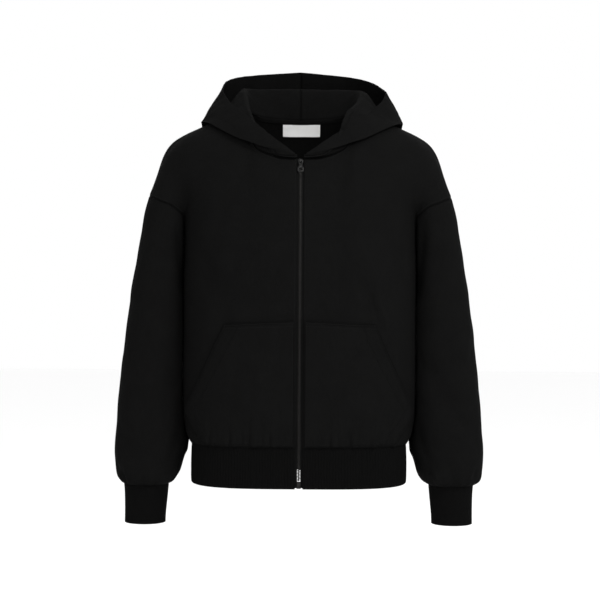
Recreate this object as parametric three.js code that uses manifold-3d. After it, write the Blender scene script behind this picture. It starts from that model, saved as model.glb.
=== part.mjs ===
// Zip up hoodie in heavy fleece, filled out with no wearer: the hood is down, the zip is closed and
// the sleeves hang at the sides. Millimetres, +Z up, the front faces -Y, the wearer's left is +X.
// The origin is in the neck opening, level with the tops of the shoulders.

import * as THREE from 'three';
import { mergeVertices } from 'three/addons/utils/BufferGeometryUtils.js';
import Module from 'manifold-3d';

// Sizes of the cloth and its seams
const CLOTH = 2.2;
const HOOD_CLOTH = 3.2;
const SEAM_GAP = 0.3;
const SIDE_CLEARANCE = 2.5;
const HOOD_CLEARANCE = 5;
const HOOD_FADE = 12;
const HOOD_PUSH = 12;
const MID_Y = 12;
const NECK_MIDDLE_Y = -20;
const NECK_RISE = 0.66;

// Heights of the seams that run round the garment
const HEM_SEAM_Z = -604;
const HEM_BOTTOM_Z = -674;
const UNDERARM_Z = -225;
const SHOULDER_END_Z = -154;
const CUFF_SEAM_Z = -682;
const CUFF_BOTTOM_Z = -751;
const NECK_FRONT_Z = -94;
const NECK_SIDE = { x: 104, z: 7 };

// Sections of the body, a row for each height: half the width, how far the front and the back
// stand out from the side seams, and how square the section is
const BODY = [
  { z: -604, half: 198, front: 161, back: 118, power: 3.4 },
  { z: -590, half: 206, front: 163, back: 122, power: 3.2 },
  { z: -570, half: 210.5, front: 165, back: 124, power: 3.0 },
  { z: -545, half: 213, front: 166, back: 125, power: 2.9 },
  { z: -480, half: 214, front: 166, back: 126, power: 2.8 },
  { z: -400, half: 214, front: 165, back: 127, power: 2.7 },
  { z: -300, half: 214, front: 161, back: 128, power: 2.7 },
  { z: -225, half: 214, front: 155, back: 128, power: 2.6 },
  { z: -184, half: 215, front: 149, back: 127, power: 2.6 },
  { z: -154, half: 221, front: 144, back: 124, power: 2.5 },
  { z: -120, half: 236, front: 134, back: 118, power: 2.4 },
  { z: -94, half: 248, front: 124, back: 110, power: 2.3 },
  { z: -75, half: 252.5, front: 115, back: 104, power: 2.2 },
  { z: -64, half: 246, front: 109, back: 99, power: 2.2 },
  { z: -42, half: 219, front: 94, back: 86, power: 2.1 },
  { z: -25, half: 183, front: 78, back: 74, power: 2.0 },
  { z: -9, half: 150, front: 60, back: 61, power: 2.0 },
  { z: 2, half: 120, front: 44, back: 53, power: 2.0 },
  { z: 7, half: 104, front: 36, back: 49, power: 2.0 },
];

// Sections of the sleeves and of the shoulders above them: where the inner and the outer side
// stand, half the depth, and the middle of the depth
const ARM = [
  { z: -682, inner: 238, outer: 319, depth: 39, mid: -22 },
  { z: -677, inner: 231, outer: 325, depth: 47, mid: -22 },
  { z: -668, inner: 223, outer: 331, depth: 54, mid: -21 },
  { z: -657, inner: 217, outer: 334, depth: 58, mid: -20 },
  { z: -646, inner: 213.5, outer: 336, depth: 60, mid: -19 },
  { z: -634, inner: 210, outer: 337, depth: 62, mid: -18 },
  { z: -619, inner: 204, outer: 337.5, depth: 64, mid: -15 },
  { z: -585, inner: 203, outer: 336, depth: 65, mid: -12 },
  { z: -541, inner: 203, outer: 333, depth: 66, mid: -8 },
  { z: -497, inner: 203, outer: 330, depth: 67, mid: -3 },
  { z: -452, inner: 203, outer: 325.6, depth: 69, mid: 1 },
  { z: -408, inner: 203, outer: 321, depth: 71, mid: 5 },
  { z: -363, inner: 203, outer: 315.5, depth: 72, mid: 8 },
  { z: -319, inner: 203, outer: 310, depth: 73, mid: 10 },
  { z: -275, inner: 203, outer: 302.5, depth: 74, mid: 12 },
  { z: -225, inner: 203, outer: 294.5, depth: 74, mid: 12 },
  { z: -184, inner: 200, outer: 287, depth: 73, mid: 12 },
  { z: -153, inner: 192, outer: 279, depth: 71, mid: 12 },
  { z: -119, inner: 172, outer: 267, depth: 67, mid: 12 },
  { z: -92, inner: 150, outer: 259, depth: 60, mid: 12 },
  { z: -75, inner: 138, outer: 252.5, depth: 54, mid: 12 },
  { z: -64, inner: 132, outer: 246, depth: 49, mid: 12 },
  { z: -53, inner: 126, outer: 236, depth: 43, mid: 12 },
  { z: -42, inner: 120, outer: 219, depth: 35, mid: 12 },
  { z: -25, inner: 105, outer: 183, depth: 20, mid: 12 },
  { z: -9, inner: 90, outer: 150, depth: 8, mid: 12 },
  { z: 2, inner: 80, outer: 120, depth: 2, mid: 12 },
  { z: 7, inner: 70, outer: 104, depth: 0, mid: 12 },
];
const ARM_POWER = 2.4;
const UNION_POWER = 6;
const ARM_FADE = 30;

// Height of the armhole seam round the arm: 0 degrees is the outer side, 90 the front, 180 the
// underarm
const ARMHOLE = [
  { angle: 0, z: -154 },
  { angle: 45, z: -160 },
  { angle: 90, z: -172 },
  { angle: 120, z: -186 },
  { angle: 150, z: -200 },
  { angle: 180, z: -225 },
];

// Neck seam of the fronts and of the back, from the middle out to the shoulder seam
const ZIP_EDGE_X = 6.25;
const NECK = {
  front: [
    { x: ZIP_EDGE_X, z: NECK_FRONT_Z },
    { x: 34, z: -94 },
    { x: 61, z: -86 },
    { x: 83, z: -72 },
    { x: 91, z: -52 },
    { x: 97, z: -26 },
    NECK_SIDE,
  ],
  back: [
    { x: 0, z: -4 },
    { x: 35, z: -2.5 },
    { x: 70, z: 0 },
    NECK_SIDE,
  ],
};

// Soft folds of the body as troughs from one place to another, on the front or on the back
const BODY_FOLDS = [
  { face: 'front', x0: 116, z0: -318, x1: 143, z1: -395, width: 16, depth: 6 },
  { face: 'front', x0: -205, z0: -270, x1: -130, z1: -345, width: 20, depth: 4 },
  { face: 'front', x0: -190, z0: -580, x1: -176, z1: -594, width: 12, depth: 4 },
  { face: 'back', x0: -60, z0: -560, x1: 30, z1: -585, width: 16, depth: 5 },
  { face: 'back', x0: 150, z0: -300, x1: 70, z1: -400, width: 24, depth: 5 },
  { face: 'back', x0: -160, z0: -260, x1: -80, z1: -380, width: 22, depth: 5 },
  { face: 'back', x0: 110, z0: -570, x1: 150, z1: -592, width: 15, depth: 4 },
];

// Soft folds of the sleeves: angles in degrees round the arm, from one height to another
const SLEEVE_FOLDS = [
  { side: 1, a0: 60, z0: -400, a1: 130, z1: -455, width: 20, depth: 4 },
  { side: 1, a0: 110, z0: -470, a1: 80, z1: -560, width: 18, depth: 4 },
  { side: 1, a0: 300, z0: -380, a1: 230, z1: -460, width: 20, depth: 5 },
  { side: 1, a0: 50, z0: -655, a1: 100, z1: -668, width: 12, depth: 4 },
  { side: -1, a0: 70, z0: -420, a1: 135, z1: -480, width: 20, depth: 4 },
  { side: -1, a0: 120, z0: -500, a1: 95, z1: -600, width: 18, depth: 4 },
  { side: -1, a0: 290, z0: -400, a1: 235, z1: -470, width: 20, depth: 5 },
  { side: -1, a0: 20, z0: -640, a1: 60, z1: -668, width: 12, depth: 4 },
];

// The hood lies open behind the neck. Each row is a section from the neck seam over a ridge, down
// into a valley and up to the rim; along is the share of the neck seam from the zip to the middle
// of the back, and belly is how far the cloth between valley and rim stands out
const HOOD_LEFT = [
  { along: 0, ridge: [7, -114.5, -92], valley: [8.5, -116.5, -89.5], rim: [11, -117, -86], belly: 0 },
  { along: 0.08, ridge: [34, -115, -89], valley: [33, -119, -82], rim: [28.5, -117, -74], belly: 1 },
  { along: 0.166, ridge: [58, -106, -74], valley: [66, -114, -74], rim: [54, -102, -55], belly: 3 },
  { along: 0.255, ridge: [70, -90, -52], valley: [94, -103, -64], rim: [74, -85, -41], belly: 5 },
  { along: 0.334, ridge: [76, -70, -36], valley: [117, -88, -57], rim: [92, -67, -28], belly: 7 },
  { along: 0.43, ridge: [84, -46, -17], valley: [148, -56, -42], rim: [113, -43, -13], belly: 8 },
  { along: 0.54, ridge: [97, -18, 3], valley: [174, -20, -27], rim: [138, -12, 10], belly: 8 },
  { along: 0.641, ridge: [110, 12, 24], valley: [188, 16, -20], rim: [156, 18, 31], belly: 8 },
  { along: 0.72, ridge: [118, 38, 40], valley: [186, 52, -36], rim: [161, 44, 46], belly: 11 },
  { along: 0.8, ridge: [117, 60, 48], valley: [168, 103, -74], rim: [150, 82, 63], belly: 17 },
  { along: 0.85, ridge: [98, 71, 51], valley: [142, 132, -98], rim: [129, 104, 76.5], belly: 22 },
  { along: 0.9, ridge: [74, 79, 53], valley: [112, 156, -118], rim: [102, 125, 86], belly: 27 },
  { along: 1, ridge: [0, 82, 54], valley: [0, 180, -145], rim: [0, 155, 101], belly: 34 },
];
const HOOD_RIGHT = [
  { along: 0, ridge: [7, -114.5, -92], valley: [8.5, -116.5, -89.5], rim: [10, -117, -87], belly: 0 },
  { along: 0.08, ridge: [34, -115, -89], valley: [34, -119, -80], rim: [31, -118, -71], belly: 1 },
  { along: 0.166, ridge: [59, -107, -73], valley: [66, -114, -74], rim: [54, -106, -53], belly: 3 },
  { along: 0.255, ridge: [76, -88, -45], valley: [94, -103, -64], rim: [78, -84, -31], belly: 5 },
  { along: 0.334, ridge: [86, -70, -25], valley: [116, -88, -57], rim: [96, -62, -14], belly: 7 },
  { along: 0.43, ridge: [93, -46, -8], valley: [146, -56, -42], rim: [114, -42, 0], belly: 8 },
  { along: 0.54, ridge: [99, -16, 10], valley: [168, -20, -27], rim: [131, -14, 17], belly: 8 },
  { along: 0.641, ridge: [104, 14, 30], valley: [183, 16, -20], rim: [142, 16, 34], belly: 9 },
  { along: 0.72, ridge: [108, 40, 45], valley: [182, 52, -36], rim: [149, 42, 49], belly: 12 },
  { along: 0.8, ridge: [108, 62, 51.5], valley: [164, 103, -74], rim: [147, 82, 68], belly: 18 },
  { along: 0.85, ridge: [92, 72, 52.5], valley: [138, 132, -98], rim: [130, 104, 80.5], belly: 22 },
  { along: 0.9, ridge: [70, 79, 53.5], valley: [108, 157, -119], rim: [103, 127, 89], belly: 27 },
  { along: 1, ridge: [0, 82, 54], valley: [0, 180, -145], rim: [0, 155, 101], belly: 34 },
];

// Ribbed hem and cuffs
const RIB_CLOTH = 2;
const RIB_HEIGHT = 0.9;
const HEM_RIBS = 150;
const CUFF_RIBS = 30;
const HEM = { halfTop: 195.5, halfBottom: 196.5, front: 160, back: 117, power: 3.4 };
const CUFF_UP = [
  { z: CUFF_BOTTOM_Z, inner: 245, outer: 315.5, depth: 32, mid: -26 },
  { z: -697, inner: 241, outer: 316.5, depth: 34, mid: -23 },
  { z: CUFF_SEAM_Z - SEAM_GAP, inner: 240, outer: 317.5, depth: 35, mid: -22 },
];

// Kangaroo pockets, in x and z: a slanted opening between the top and the lower corner
const POCKET_CLOTH = 2;
const POCKET_LIFT = 1.4;
const POCKET_EDGE = [
  { z: -601.5, from: 9, to: 168 },
  { z: -572, from: 9, to: 184 },
  { z: -542, from: 9, to: 199 },
  { z: -504, from: 9, to: 182 },
  { z: -466, from: 9, to: 165 },
  { z: -428, from: 9, to: 148 },
  { z: -388, from: 9, to: 131 },
];
const POCKET_COLUMNS = 9;
const POCKET_TOP_SLOPE = 0.05;

// Neck tape and bare label, inside the back neck
const TAPE_HEIGHT = 8;
const TAPE_HALF = 70;
const TAPE_CLOTH = 1;
const LABEL = { fromX: -34, toX: 37, topZ: -14, height: 21.6, cloth: 0.6 };

// Zip
const TAPE_INNER_X = 2.95;
const TAPE_OUTER_X = 15;
const ZIP_TAPE_CLOTH = 0.8;
const CHAIN_WIDTH = 5.3;
const CHAIN_THICKNESS = 2.4;
const ZIP_TAPE_GAP = 0.6;
const ZIP_MIDDLE_DEPTH = CLOTH + ZIP_TAPE_GAP + ZIP_TAPE_CLOTH / 2;
const SLIDER = { z: -101, width: 9.3, height: 9, plate: 1.2, gap: 3.2, post: 2.2, taper: 1.1, round: 2.4 };
const FLANGE = { width: 0.9, depth: 0.7, length: 5, fromEdge: 0.45 };
const ARCH = { width: 2, inner: 1.9, wall: 1.5, leg: 0.6 };
const PULL = {
  thickness: 1.4, neckWidth: 7.4, neckLength: 11, tabWidth: 11, tabLength: 10.4, hole: 3,
};
const PULL_BAR = 1.4;
const PULL_SLOT = { width: 4.4, height: 3.2 };
const BOX = { height: 12.3, thickness: 4.4 };
const CHAIN_END = 1.5;
const JOIN = 0.2;

// Numbers of rows and columns of the walls
const NECK_COLUMNS = { front: 7, back: 6 };
const SHOULDER_COLUMNS = 8;
const SIDE_ROWS = 10;
const ARMHOLE_ROWS = 10;
const PANEL_ROWS = SIDE_ROWS + ARMHOLE_ROWS;
const SLEEVE_COLUMNS = 2 * ARMHOLE_ROWS;
const SLEEVE_ROWS = 16;
const HOOD_STEPS = [3, 3, 3, 4, 3];
const ROW_CROWDING = 1.6;
const HEM_CROWDING = 1.2;
const SIDE_SPREAD = 1.2;
const ZIP_STEPS = 26;
const PATCH_GAP = 1.2;
const FINE = 240;
const HEM_FINE = 8 * FINE;
const HOLE_SIDES = 20;

// A fold fades out where the body is shallower than this, and a panel's points stay inside its edge
const FOLD_FADE = 60;
const EDGE_SHARE = 0.999;

const clamp = (value, low, high) => Math.min(Math.max(value, low), high);
const mix = (a, b, share) => a + (b - a) * share;
const radians = (degrees) => (degrees * Math.PI) / 180;
const signedPower = (value, power) => Math.sign(value) * Math.abs(value) ** power;

// Slope of a column at a row, flat at its peaks, so that the curve never overshoots its rows
function slopeAt(rows, key, name, row) {
  const before = rows[row - 1];
  const here = rows[row];
  const after = rows[row + 1];
  if (!before || !after) return 0;
  const left = (here[name] - before[name]) / (here[key] - before[key]);
  const right = (after[name] - here[name]) / (after[key] - here[key]);
  return left * right <= 0 ? 0 : (2 * left * right) / (left + right);
}

// Smooth value of one column of a table, whose key column rises down the rows
function lookUp(rows, name, at, key = 'z') {
  const last = rows.length - 1;
  if (at <= rows[0][key]) return rows[0][name];
  if (at >= rows[last][key]) return rows[last][name];
  let row = 0;
  while (rows[row + 1][key] < at) row += 1;
  const span = rows[row + 1][key] - rows[row][key];
  const t = (at - rows[row][key]) / span;
  const start = slopeAt(rows, key, name, row) * span;
  const end = slopeAt(rows, key, name, row + 1) * span;
  return (2 * t ** 3 - 3 * t ** 2 + 1) * rows[row][name] + (t ** 3 - 2 * t ** 2 + t) * start
    + (3 * t ** 2 - 2 * t ** 3) * rows[row + 1][name] + (t ** 3 - t ** 2) * end;
}

// How far a rounded section stands out at an offset from its middle
function bulge(offset, half, depth, power) {
  const share = clamp(Math.abs(offset / half), 0, 1);
  return depth * (1 - share ** power) ** (1 / power);
}

// Depth of a trough at a place, from its distance to the fold's line
function troughDepth(fold, a, b, ends) {
  const lineA = ends[2] - ends[0];
  const lineB = ends[3] - ends[1];
  const share = ((a - ends[0]) * lineA + (b - ends[1]) * lineB) / (lineA ** 2 + lineB ** 2);
  const along = clamp(share, 0, 1);
  const distance = Math.hypot(a - ends[0] - along * lineA, b - ends[1] - along * lineB);
  return fold.depth * Math.exp(-((distance / fold.width) ** 2));
}

function bodyFolds(x, z, face) {
  return BODY_FOLDS.filter((fold) => fold.face === face)
    .reduce((sum, fold) => sum + troughDepth(fold, x, z, [fold.x0, fold.z0, fold.x1, fold.z1]), 0);
}

// How far the front or the back of the body stands out from the side seams, with the part of the
// arm that the drop shoulder covers
function bodyDepth(x, z, face) {
  const torso = bulge(x, lookUp(BODY, 'half', z), lookUp(BODY, face, z), lookUp(BODY, 'power', z));
  const inner = lookUp(ARM, 'inner', z);
  const outer = lookUp(ARM, 'outer', z);
  const share = clamp((z - UNDERARM_Z) / ARM_FADE, 0, 1);
  const middle = (inner + outer) / 2;
  const arm = share * bulge(Math.abs(x) - middle, outer - middle, lookUp(ARM, 'depth', z), ARM_POWER);
  const depth = (torso ** UNION_POWER + arm ** UNION_POWER) ** (1 / UNION_POWER);
  const edge = clamp(depth / FOLD_FADE, 0, 1);
  return depth - edge * bodyFolds(x, z, face);
}

// Half the width of the body or of the hem band, at a depth
function sideAt(y, z) {
  const face = y < MID_Y ? 'front' : 'back';
  if (z < HEM_SEAM_Z) return bulge(y - MID_Y, HEM[face], HEM.halfBottom + RIB_HEIGHT, HEM.power);
  return bulge(y - MID_Y, lookUp(BODY, face, z), lookUp(BODY, 'half', z), lookUp(BODY, 'power', z));
}

// A point of the arm's outside, where the inner side lies along the body
function armPoint(angle, z) {
  const inner = lookUp(ARM, 'inner', z);
  const outer = lookUp(ARM, 'outer', z);
  const half = (outer - inner) / 2;
  const turn = 2 / ARM_POWER;
  const x = inner + half + half * signedPower(Math.cos(angle), turn);
  const y = lookUp(ARM, 'mid', z) - lookUp(ARM, 'depth', z) * signedPower(Math.sin(angle), turn);
  return new THREE.Vector3(Math.max(x, sideAt(y, z) + SIDE_CLEARANCE), y, z);
}

// The armhole seam, the way across it and the way in through the cloth there
function armholeZ(angle) {
  const degrees = Math.abs(((angle * 180) / Math.PI + 180) % 360 - 180);
  return lookUp(ARMHOLE, 'z', degrees, 'angle');
}
const armholePoint = (angle) => armPoint(angle, armholeZ(angle));
const armholeAcross = (angle) => new THREE.Vector3(Math.abs(Math.sin(angle / 2)), 0,
  -Math.abs(Math.cos(angle / 2)));
const armholeInward = (angle) => new THREE.Vector3(-Math.max(Math.cos(angle), 0), Math.sin(angle),
  Math.max(-Math.cos(angle), 0)).normalize();

// A place on the cloth's outside and, at a seam, the way in through the cloth there
const place = (at, inward = null) => ({ at, inward });
const fine = (make) => Array.from({ length: FINE + 1 }, (unused, i) => make(i / FINE));

// Places at given shares of the length of a fine path
function alongPath(path, shares) {
  const lengths = [0];
  for (let i = 1; i < path.length; i += 1) {
    lengths.push(lengths[i - 1] + path[i].at.distanceTo(path[i - 1].at));
  }
  const total = lengths[lengths.length - 1];
  return shares.map((share) => {
    let i = 0;
    while (i < path.length - 2 && lengths[i + 1] < share * total) i += 1;
    const length = Math.max(lengths[i + 1] - lengths[i], 1e-9);
    const part = clamp((share * total - lengths[i]) / length, 0, 1);
    const nearer = path[part < 0.5 ? i : i + 1];
    return place(path[i].at.clone().lerp(path[i + 1].at, part), nearer.inward);
  });
}

function onBody(x, z, face) {
  const depth = bodyDepth(x, z, face);
  return new THREE.Vector3(x, face === 'front' ? MID_Y - depth : MID_Y + depth, z);
}

// Way in at the shoulder seam and at the neck seam, the same for both pieces that meet there
function shoulderInward(z) {
  const step = 1;
  const run = lookUp(ARM, 'outer', z + step) - lookUp(ARM, 'outer', z - step);
  return new THREE.Vector3(-2 * step, 0, run).normalize();
}
function neckInward(at) {
  const share = clamp((at.z - NECK_FRONT_Z) / (NECK_SIDE.z - NECK_FRONT_Z), 0, 1);
  const inward = new THREE.Vector3(-at.x, NECK_MIDDLE_Y - at.y, 0).normalize();
  if (Math.abs(at.x) < ZIP_EDGE_X + 0.1) inward.x = 0;
  inward.z = -mix(0.15, 0.8, share);
  return inward.normalize();
}

// The neck seam of the front or the back, from the middle out to the shoulder
function neckPath(rows, face) {
  return fine((share) => {
    const along = share * (rows.length - 1);
    const row = Math.min(Math.floor(along), rows.length - 2);
    const x = mix(rows[row].x, rows[row + 1].x, along - row);
    const at = onBody(x, mix(rows[row].z, rows[row + 1].z, along - row), face);
    return place(at, neckInward(at));
  });
}

const shares = (count) => Array.from({ length: count + 1 }, (unused, i) => i / count);

// The neck seam of one side, and the shoulder seam from the neck out to the armhole
const neckPlaces = (face) => alongPath(neckPath(NECK[face], face), shares(NECK_COLUMNS[face]));
function shoulderPlaces() {
  const path = fine((share) => {
    const z = mix(NECK_SIDE.z, SHOULDER_END_Z, share);
    return place(new THREE.Vector3(lookUp(ARM, 'outer', z), MID_Y, z), shoulderInward(z));
  });
  return alongPath(path, shares(SHOULDER_COLUMNS));
}
function armholePlace(angle, side) {
  const at = armholePoint(angle).addScaledVector(armholeAcross(angle), (side * SEAM_GAP) / 2);
  return place(at, armholeInward(angle));
}

// Edges of a quarter of the body: the hem, the middle, the neck and shoulder, and the side seam
// with the armhole. Each stands half a seam gap back from its neighbour.
function quarterEdges(face, rowShares) {
  const outY = MID_Y + (face === 'front' ? -SEAM_GAP / 2 : SEAM_GAP / 2);
  const neck = neckPlaces(face);
  neck.forEach((point) => { point.at.z -= SEAM_GAP / 2; });
  const shoulder = shoulderPlaces().slice(1);
  shoulder.forEach((point) => { point.at.y = outY; });
  neck[neck.length - 1].at.y = outY;
  const top = neck.concat(shoulder);
  const middleX = NECK[face][0].x;
  const hemPath = fine((share) => {
    const x = BODY[0].half * Math.sin((share * Math.PI) / 2) ** (2 / BODY[0].power);
    return place(onBody(Math.max(x, middleX), HEM_SEAM_Z, face));
  });
  const hem = alongPath(hemPath, shares(top.length - 1));
  const middle = rowShares
    .map((v) => place(onBody(middleX, mix(HEM_SEAM_Z, NECK[face][0].z, v), face)));
  const side = shares(SIDE_ROWS).slice(0, -1).map((share) => {
    const z = mix(HEM_SEAM_Z, UNDERARM_Z, share ** SIDE_SPREAD);
    return place(new THREE.Vector3(lookUp(BODY, 'half', z), outY, z), new THREE.Vector3(-1, 0, 0));
  });
  const turn = face === 'front' ? 1 : -1;
  const armhole = shares(ARMHOLE_ROWS)
    .map((share) => armholePlace(turn * mix(Math.PI, 0, share), -1));
  armhole[0].at.y = outY;
  armhole[ARMHOLE_ROWS].at.y = outY;
  return { hem, middle, top, side: side.concat(armhole) };
}

// One quarter of the body as rows of places from the hem up, blended from its four edges. Rows
// crowd together towards the shoulder, where the cloth turns over.
function quarterGrid(face, sign) {
  const rowShares = shares(PANEL_ROWS)
    .map((share) => 1 - (1 - share ** HEM_CROWDING) ** ROW_CROWDING);
  const { hem, middle, top, side } = quarterEdges(face, rowShares);
  const last = top.length - 1;
  const blend = (axis, u, v, row, column) => (1 - v) * hem[column].at[axis] + v * top[column].at[axis]
    + (1 - u) * middle[row].at[axis] + u * side[row].at[axis]
    - (1 - u) * (1 - v) * hem[0].at[axis] - u * (1 - v) * hem[last].at[axis]
    - (1 - u) * v * top[0].at[axis] - u * v * top[last].at[axis];
  const flip = (vector) => vector && new THREE.Vector3(vector.x * sign, vector.y, vector.z);
  const mirrored = (from) => place(flip(from.at), flip(from.inward));
  return rowShares.map((v, row) => shares(last).map((u, column) => {
    if (column === last) return mirrored(side[row]);
    if (row === PANEL_ROWS) return mirrored(top[column]);
    const z = row === 0 ? HEM_SEAM_Z : blend('z', u, v, row, column);
    const limit = z < UNDERARM_Z ? lookUp(BODY, 'half', z) : lookUp(ARM, 'outer', z);
    const across = Math.min(blend('x', u, v, row, column), EDGE_SHARE * limit);
    const x = column === 0 ? middle[row].at.x : across;
    return place(onBody(x * sign, z, face));
  }));
}

// Points of a cloth's inside: a thickness in from its outside, along its normal or, at a seam, along
// the way in that the seam gives. Outward is 1 where columns, rows and the normal are right-handed.
function insideOf(grid, thickness, outward, closed = false, adjust = null) {
  const lastRow = grid.length - 1;
  const columns = grid[0].length;
  return grid.map((row, i) => row.map((point, j) => {
    let inward = point.inward;
    if (!inward) {
      const right = closed ? (j + 1) % columns : Math.min(j + 1, columns - 1);
      const left = closed ? (j + columns - 1) % columns : Math.max(j - 1, 0);
      const across = grid[i][right].at.clone().sub(grid[i][left].at);
      const up = grid[Math.min(i + 1, lastRow)][j].at.clone().sub(grid[Math.max(i - 1, 0)][j].at);
      inward = across.cross(up).multiplyScalar(-outward).normalize();
      if (adjust) adjust(inward, i, j);
    }
    return point.at.clone().addScaledVector(inward, thickness);
  }));
}

// A closed wall between two grids of points
function wallGeometry(outside, inside, closed = false) {
  const rows = outside.length;
  const columns = outside[0].length;
  const corners = [...outside.flat(), ...inside.flat()];
  const at = (layer, i, j) => layer * rows * columns + i * columns + (j % columns);
  const faces = [];
  const quad = (a, b, c, d) => faces.push(a, b, c, a, c, d);
  const spans = closed ? columns : columns - 1;
  for (let i = 0; i < rows - 1; i += 1) {
    for (let j = 0; j < spans; j += 1) {
      quad(at(0, i, j), at(0, i, j + 1), at(0, i + 1, j + 1), at(0, i + 1, j));
      quad(at(1, i, j), at(1, i + 1, j), at(1, i + 1, j + 1), at(1, i, j + 1));
    }
    if (!closed) {
      quad(at(0, i, 0), at(0, i + 1, 0), at(1, i + 1, 0), at(1, i, 0));
      quad(at(0, i, spans), at(1, i, spans), at(1, i + 1, spans), at(0, i + 1, spans));
    }
  }
  for (let j = 0; j < spans; j += 1) {
    quad(at(0, 0, j), at(1, 0, j), at(1, 0, j + 1), at(0, 0, j + 1));
    quad(at(0, rows - 1, j), at(0, rows - 1, j + 1), at(1, rows - 1, j + 1), at(1, rows - 1, j));
  }
  return facingOut(corners, faces);
}

// A geometry from corners and faces, turned over if its faces point in
function facingOut(corners, faces) {
  let volume = 0;
  for (let i = 0; i < faces.length; i += 3) {
    const [a, b, c] = [corners[faces[i]], corners[faces[i + 1]], corners[faces[i + 2]]];
    volume += a.dot(b.clone().cross(c));
  }
  if (volume < 0) {
    for (let i = 0; i < faces.length; i += 3) {
      [faces[i + 1], faces[i + 2]] = [faces[i + 2], faces[i + 1]];
    }
  }
  const geometry = new THREE.BufferGeometry();
  const positions = corners.flatMap((corner) => corner.toArray());
  geometry.setAttribute('position', new THREE.Float32BufferAttribute(positions, 3));
  geometry.setIndex(faces);
  geometry.computeVertexNormals();
  return geometry;
}

const hoodie = new THREE.Group();
hoodie.name = 'zip_up_hoodie';
function addPiece(name, geometry, material, parent = hoodie) {
  const mesh = new THREE.Mesh(geometry, material);
  mesh.name = name;
  parent.add(mesh);
  return mesh;
}
const finish = (colour, roughness, metalness = 0) => new THREE.MeshStandardMaterial({
  color: colour, roughness, metalness,
});
const FLEECE = finish(0x161616, 0.95);
const RIB_KNIT = finish(0x121212, 0.95);
const ZIP_CLOTH = finish(0x0e0e0e, 0.9);
const ZIP_TEETH = finish(0x2c2b29, 0.6);
const METAL = finish(0x3a3a3c, 0.35, 1);
const LABEL_CLOTH = finish(0xe8e8e6, 0.8);

const flatAt = (row) => (inward, i) => {
  if (i === row) inward.z = 0;
  inward.normalize();
};

// Fronts, each from the zip to the side seam and over the shoulder
function makeFront(name, sign) {
  const grid = quarterGrid('front', sign);
  const level = (inward, i, j) => {
    if (j === 0) inward.x = 0;
    flatAt(0)(inward, i);
    inward.normalize();
  };
  const outside = grid.map((row) => row.map((point) => point.at));
  addPiece(name, wallGeometry(outside, insideOf(grid, CLOTH, sign, false, level)), FLEECE);
}

// The back, its two quarters joined along the middle
function makeBack() {
  const left = quarterGrid('back', 1);
  const right = quarterGrid('back', -1);
  const grid = left.map((row, i) => right[i].slice(1).reverse().concat(row));
  const outside = grid.map((row) => row.map((point) => point.at));
  addPiece('back', wallGeometry(outside, insideOf(grid, CLOTH, -1, false, flatAt(0))), FLEECE);
}

// Rings of a sleeve from the armhole down to the cuff seam
function sleeveGrid(sign) {
  const flip = (vector) => vector && new THREE.Vector3(vector.x * sign, vector.y, vector.z);
  return shares(SLEEVE_ROWS).map((share, row) => {
    const v = 1 - (1 - share) ** ROW_CROWDING;
    return shares(SLEEVE_COLUMNS).slice(0, -1).map((turn) => {
      const angle = 2 * Math.PI * turn;
      if (row === 0) {
        const edge = armholePlace(angle, 1);
        return place(flip(edge.at), flip(edge.inward));
      }
      const at = armPoint(angle, mix(armholeZ(angle), CUFF_SEAM_Z, v));
      foldSleeve(at, angle, sign);
      return place(flip(at));
    });
  });
}

// Presses a sleeve's soft folds in towards the middle of the arm
function foldSleeve(at, angle, sign) {
  const radius = (lookUp(ARM, 'outer', at.z) - lookUp(ARM, 'inner', at.z)) / 2;
  const around = ((angle * 180) / Math.PI) * radians(radius);
  const middle = (lookUp(ARM, 'outer', at.z) + lookUp(ARM, 'inner', at.z)) / 2;
  const towards = new THREE.Vector3(middle - at.x, lookUp(ARM, 'mid', at.z) - at.y, 0).normalize();
  SLEEVE_FOLDS.filter((fold) => fold.side === sign).forEach((fold) => {
    const ends = [fold.a0 * radians(radius), fold.z0, fold.a1 * radians(radius), fold.z1];
    at.addScaledVector(towards, troughDepth(fold, around, at.z, ends));
  });
}

function makeSleeve(name, sign) {
  const grid = sleeveGrid(sign);
  const outside = grid.map((row) => row.map((point) => point.at));
  const inside = insideOf(grid, CLOTH, sign, true, flatAt(SLEEVE_ROWS));
  addPiece(name, wallGeometry(outside, inside, true), FLEECE);
}

// A smooth path through a few points, with a number of steps on each stretch
function smoothPath(points, steps) {
  const at = (i) => points[clamp(i, 0, points.length - 1)];
  const path = [points[0].clone()];
  steps.forEach((count, i) => {
    for (let k = 1; k <= count; k += 1) {
      const t = k / count;
      const weights = [(-t + 2 * t ** 2 - t ** 3) / 2, (2 - 5 * t ** 2 + 3 * t ** 3) / 2,
        (t + 4 * t ** 2 - 3 * t ** 3) / 2, (t ** 3 - t ** 2) / 2];
      const sum = new THREE.Vector3();
      weights.forEach((weight, j) => sum.addScaledVector(at(i - 1 + j), weight));
      path.push(sum);
    }
  });
  return path;
}

// How far a point stands out of the body's section at its height: 0 is on the outside, 1 is twice
// as far out
function standOut(x, y, z) {
  const power = lookUp(BODY, 'power', z);
  const depth = lookUp(BODY, y < MID_Y ? 'front' : 'back', z);
  const torso = (Math.abs(x / lookUp(BODY, 'half', z)) ** power
    + Math.abs((y - MID_Y) / depth) ** power) ** (1 / power);
  const middle = (lookUp(ARM, 'inner', z) + lookUp(ARM, 'outer', z)) / 2;
  const half = lookUp(ARM, 'outer', z) - middle;
  const arm = (Math.abs((Math.abs(x) - middle) / half) ** ARM_POWER
    + Math.abs((y - MID_Y) / Math.max(lookUp(ARM, 'depth', z), 1)) ** ARM_POWER) ** (1 / ARM_POWER);
  return (torso ** -UNION_POWER + arm ** -UNION_POWER) ** (-1 / UNION_POWER) - 1;
}

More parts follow.
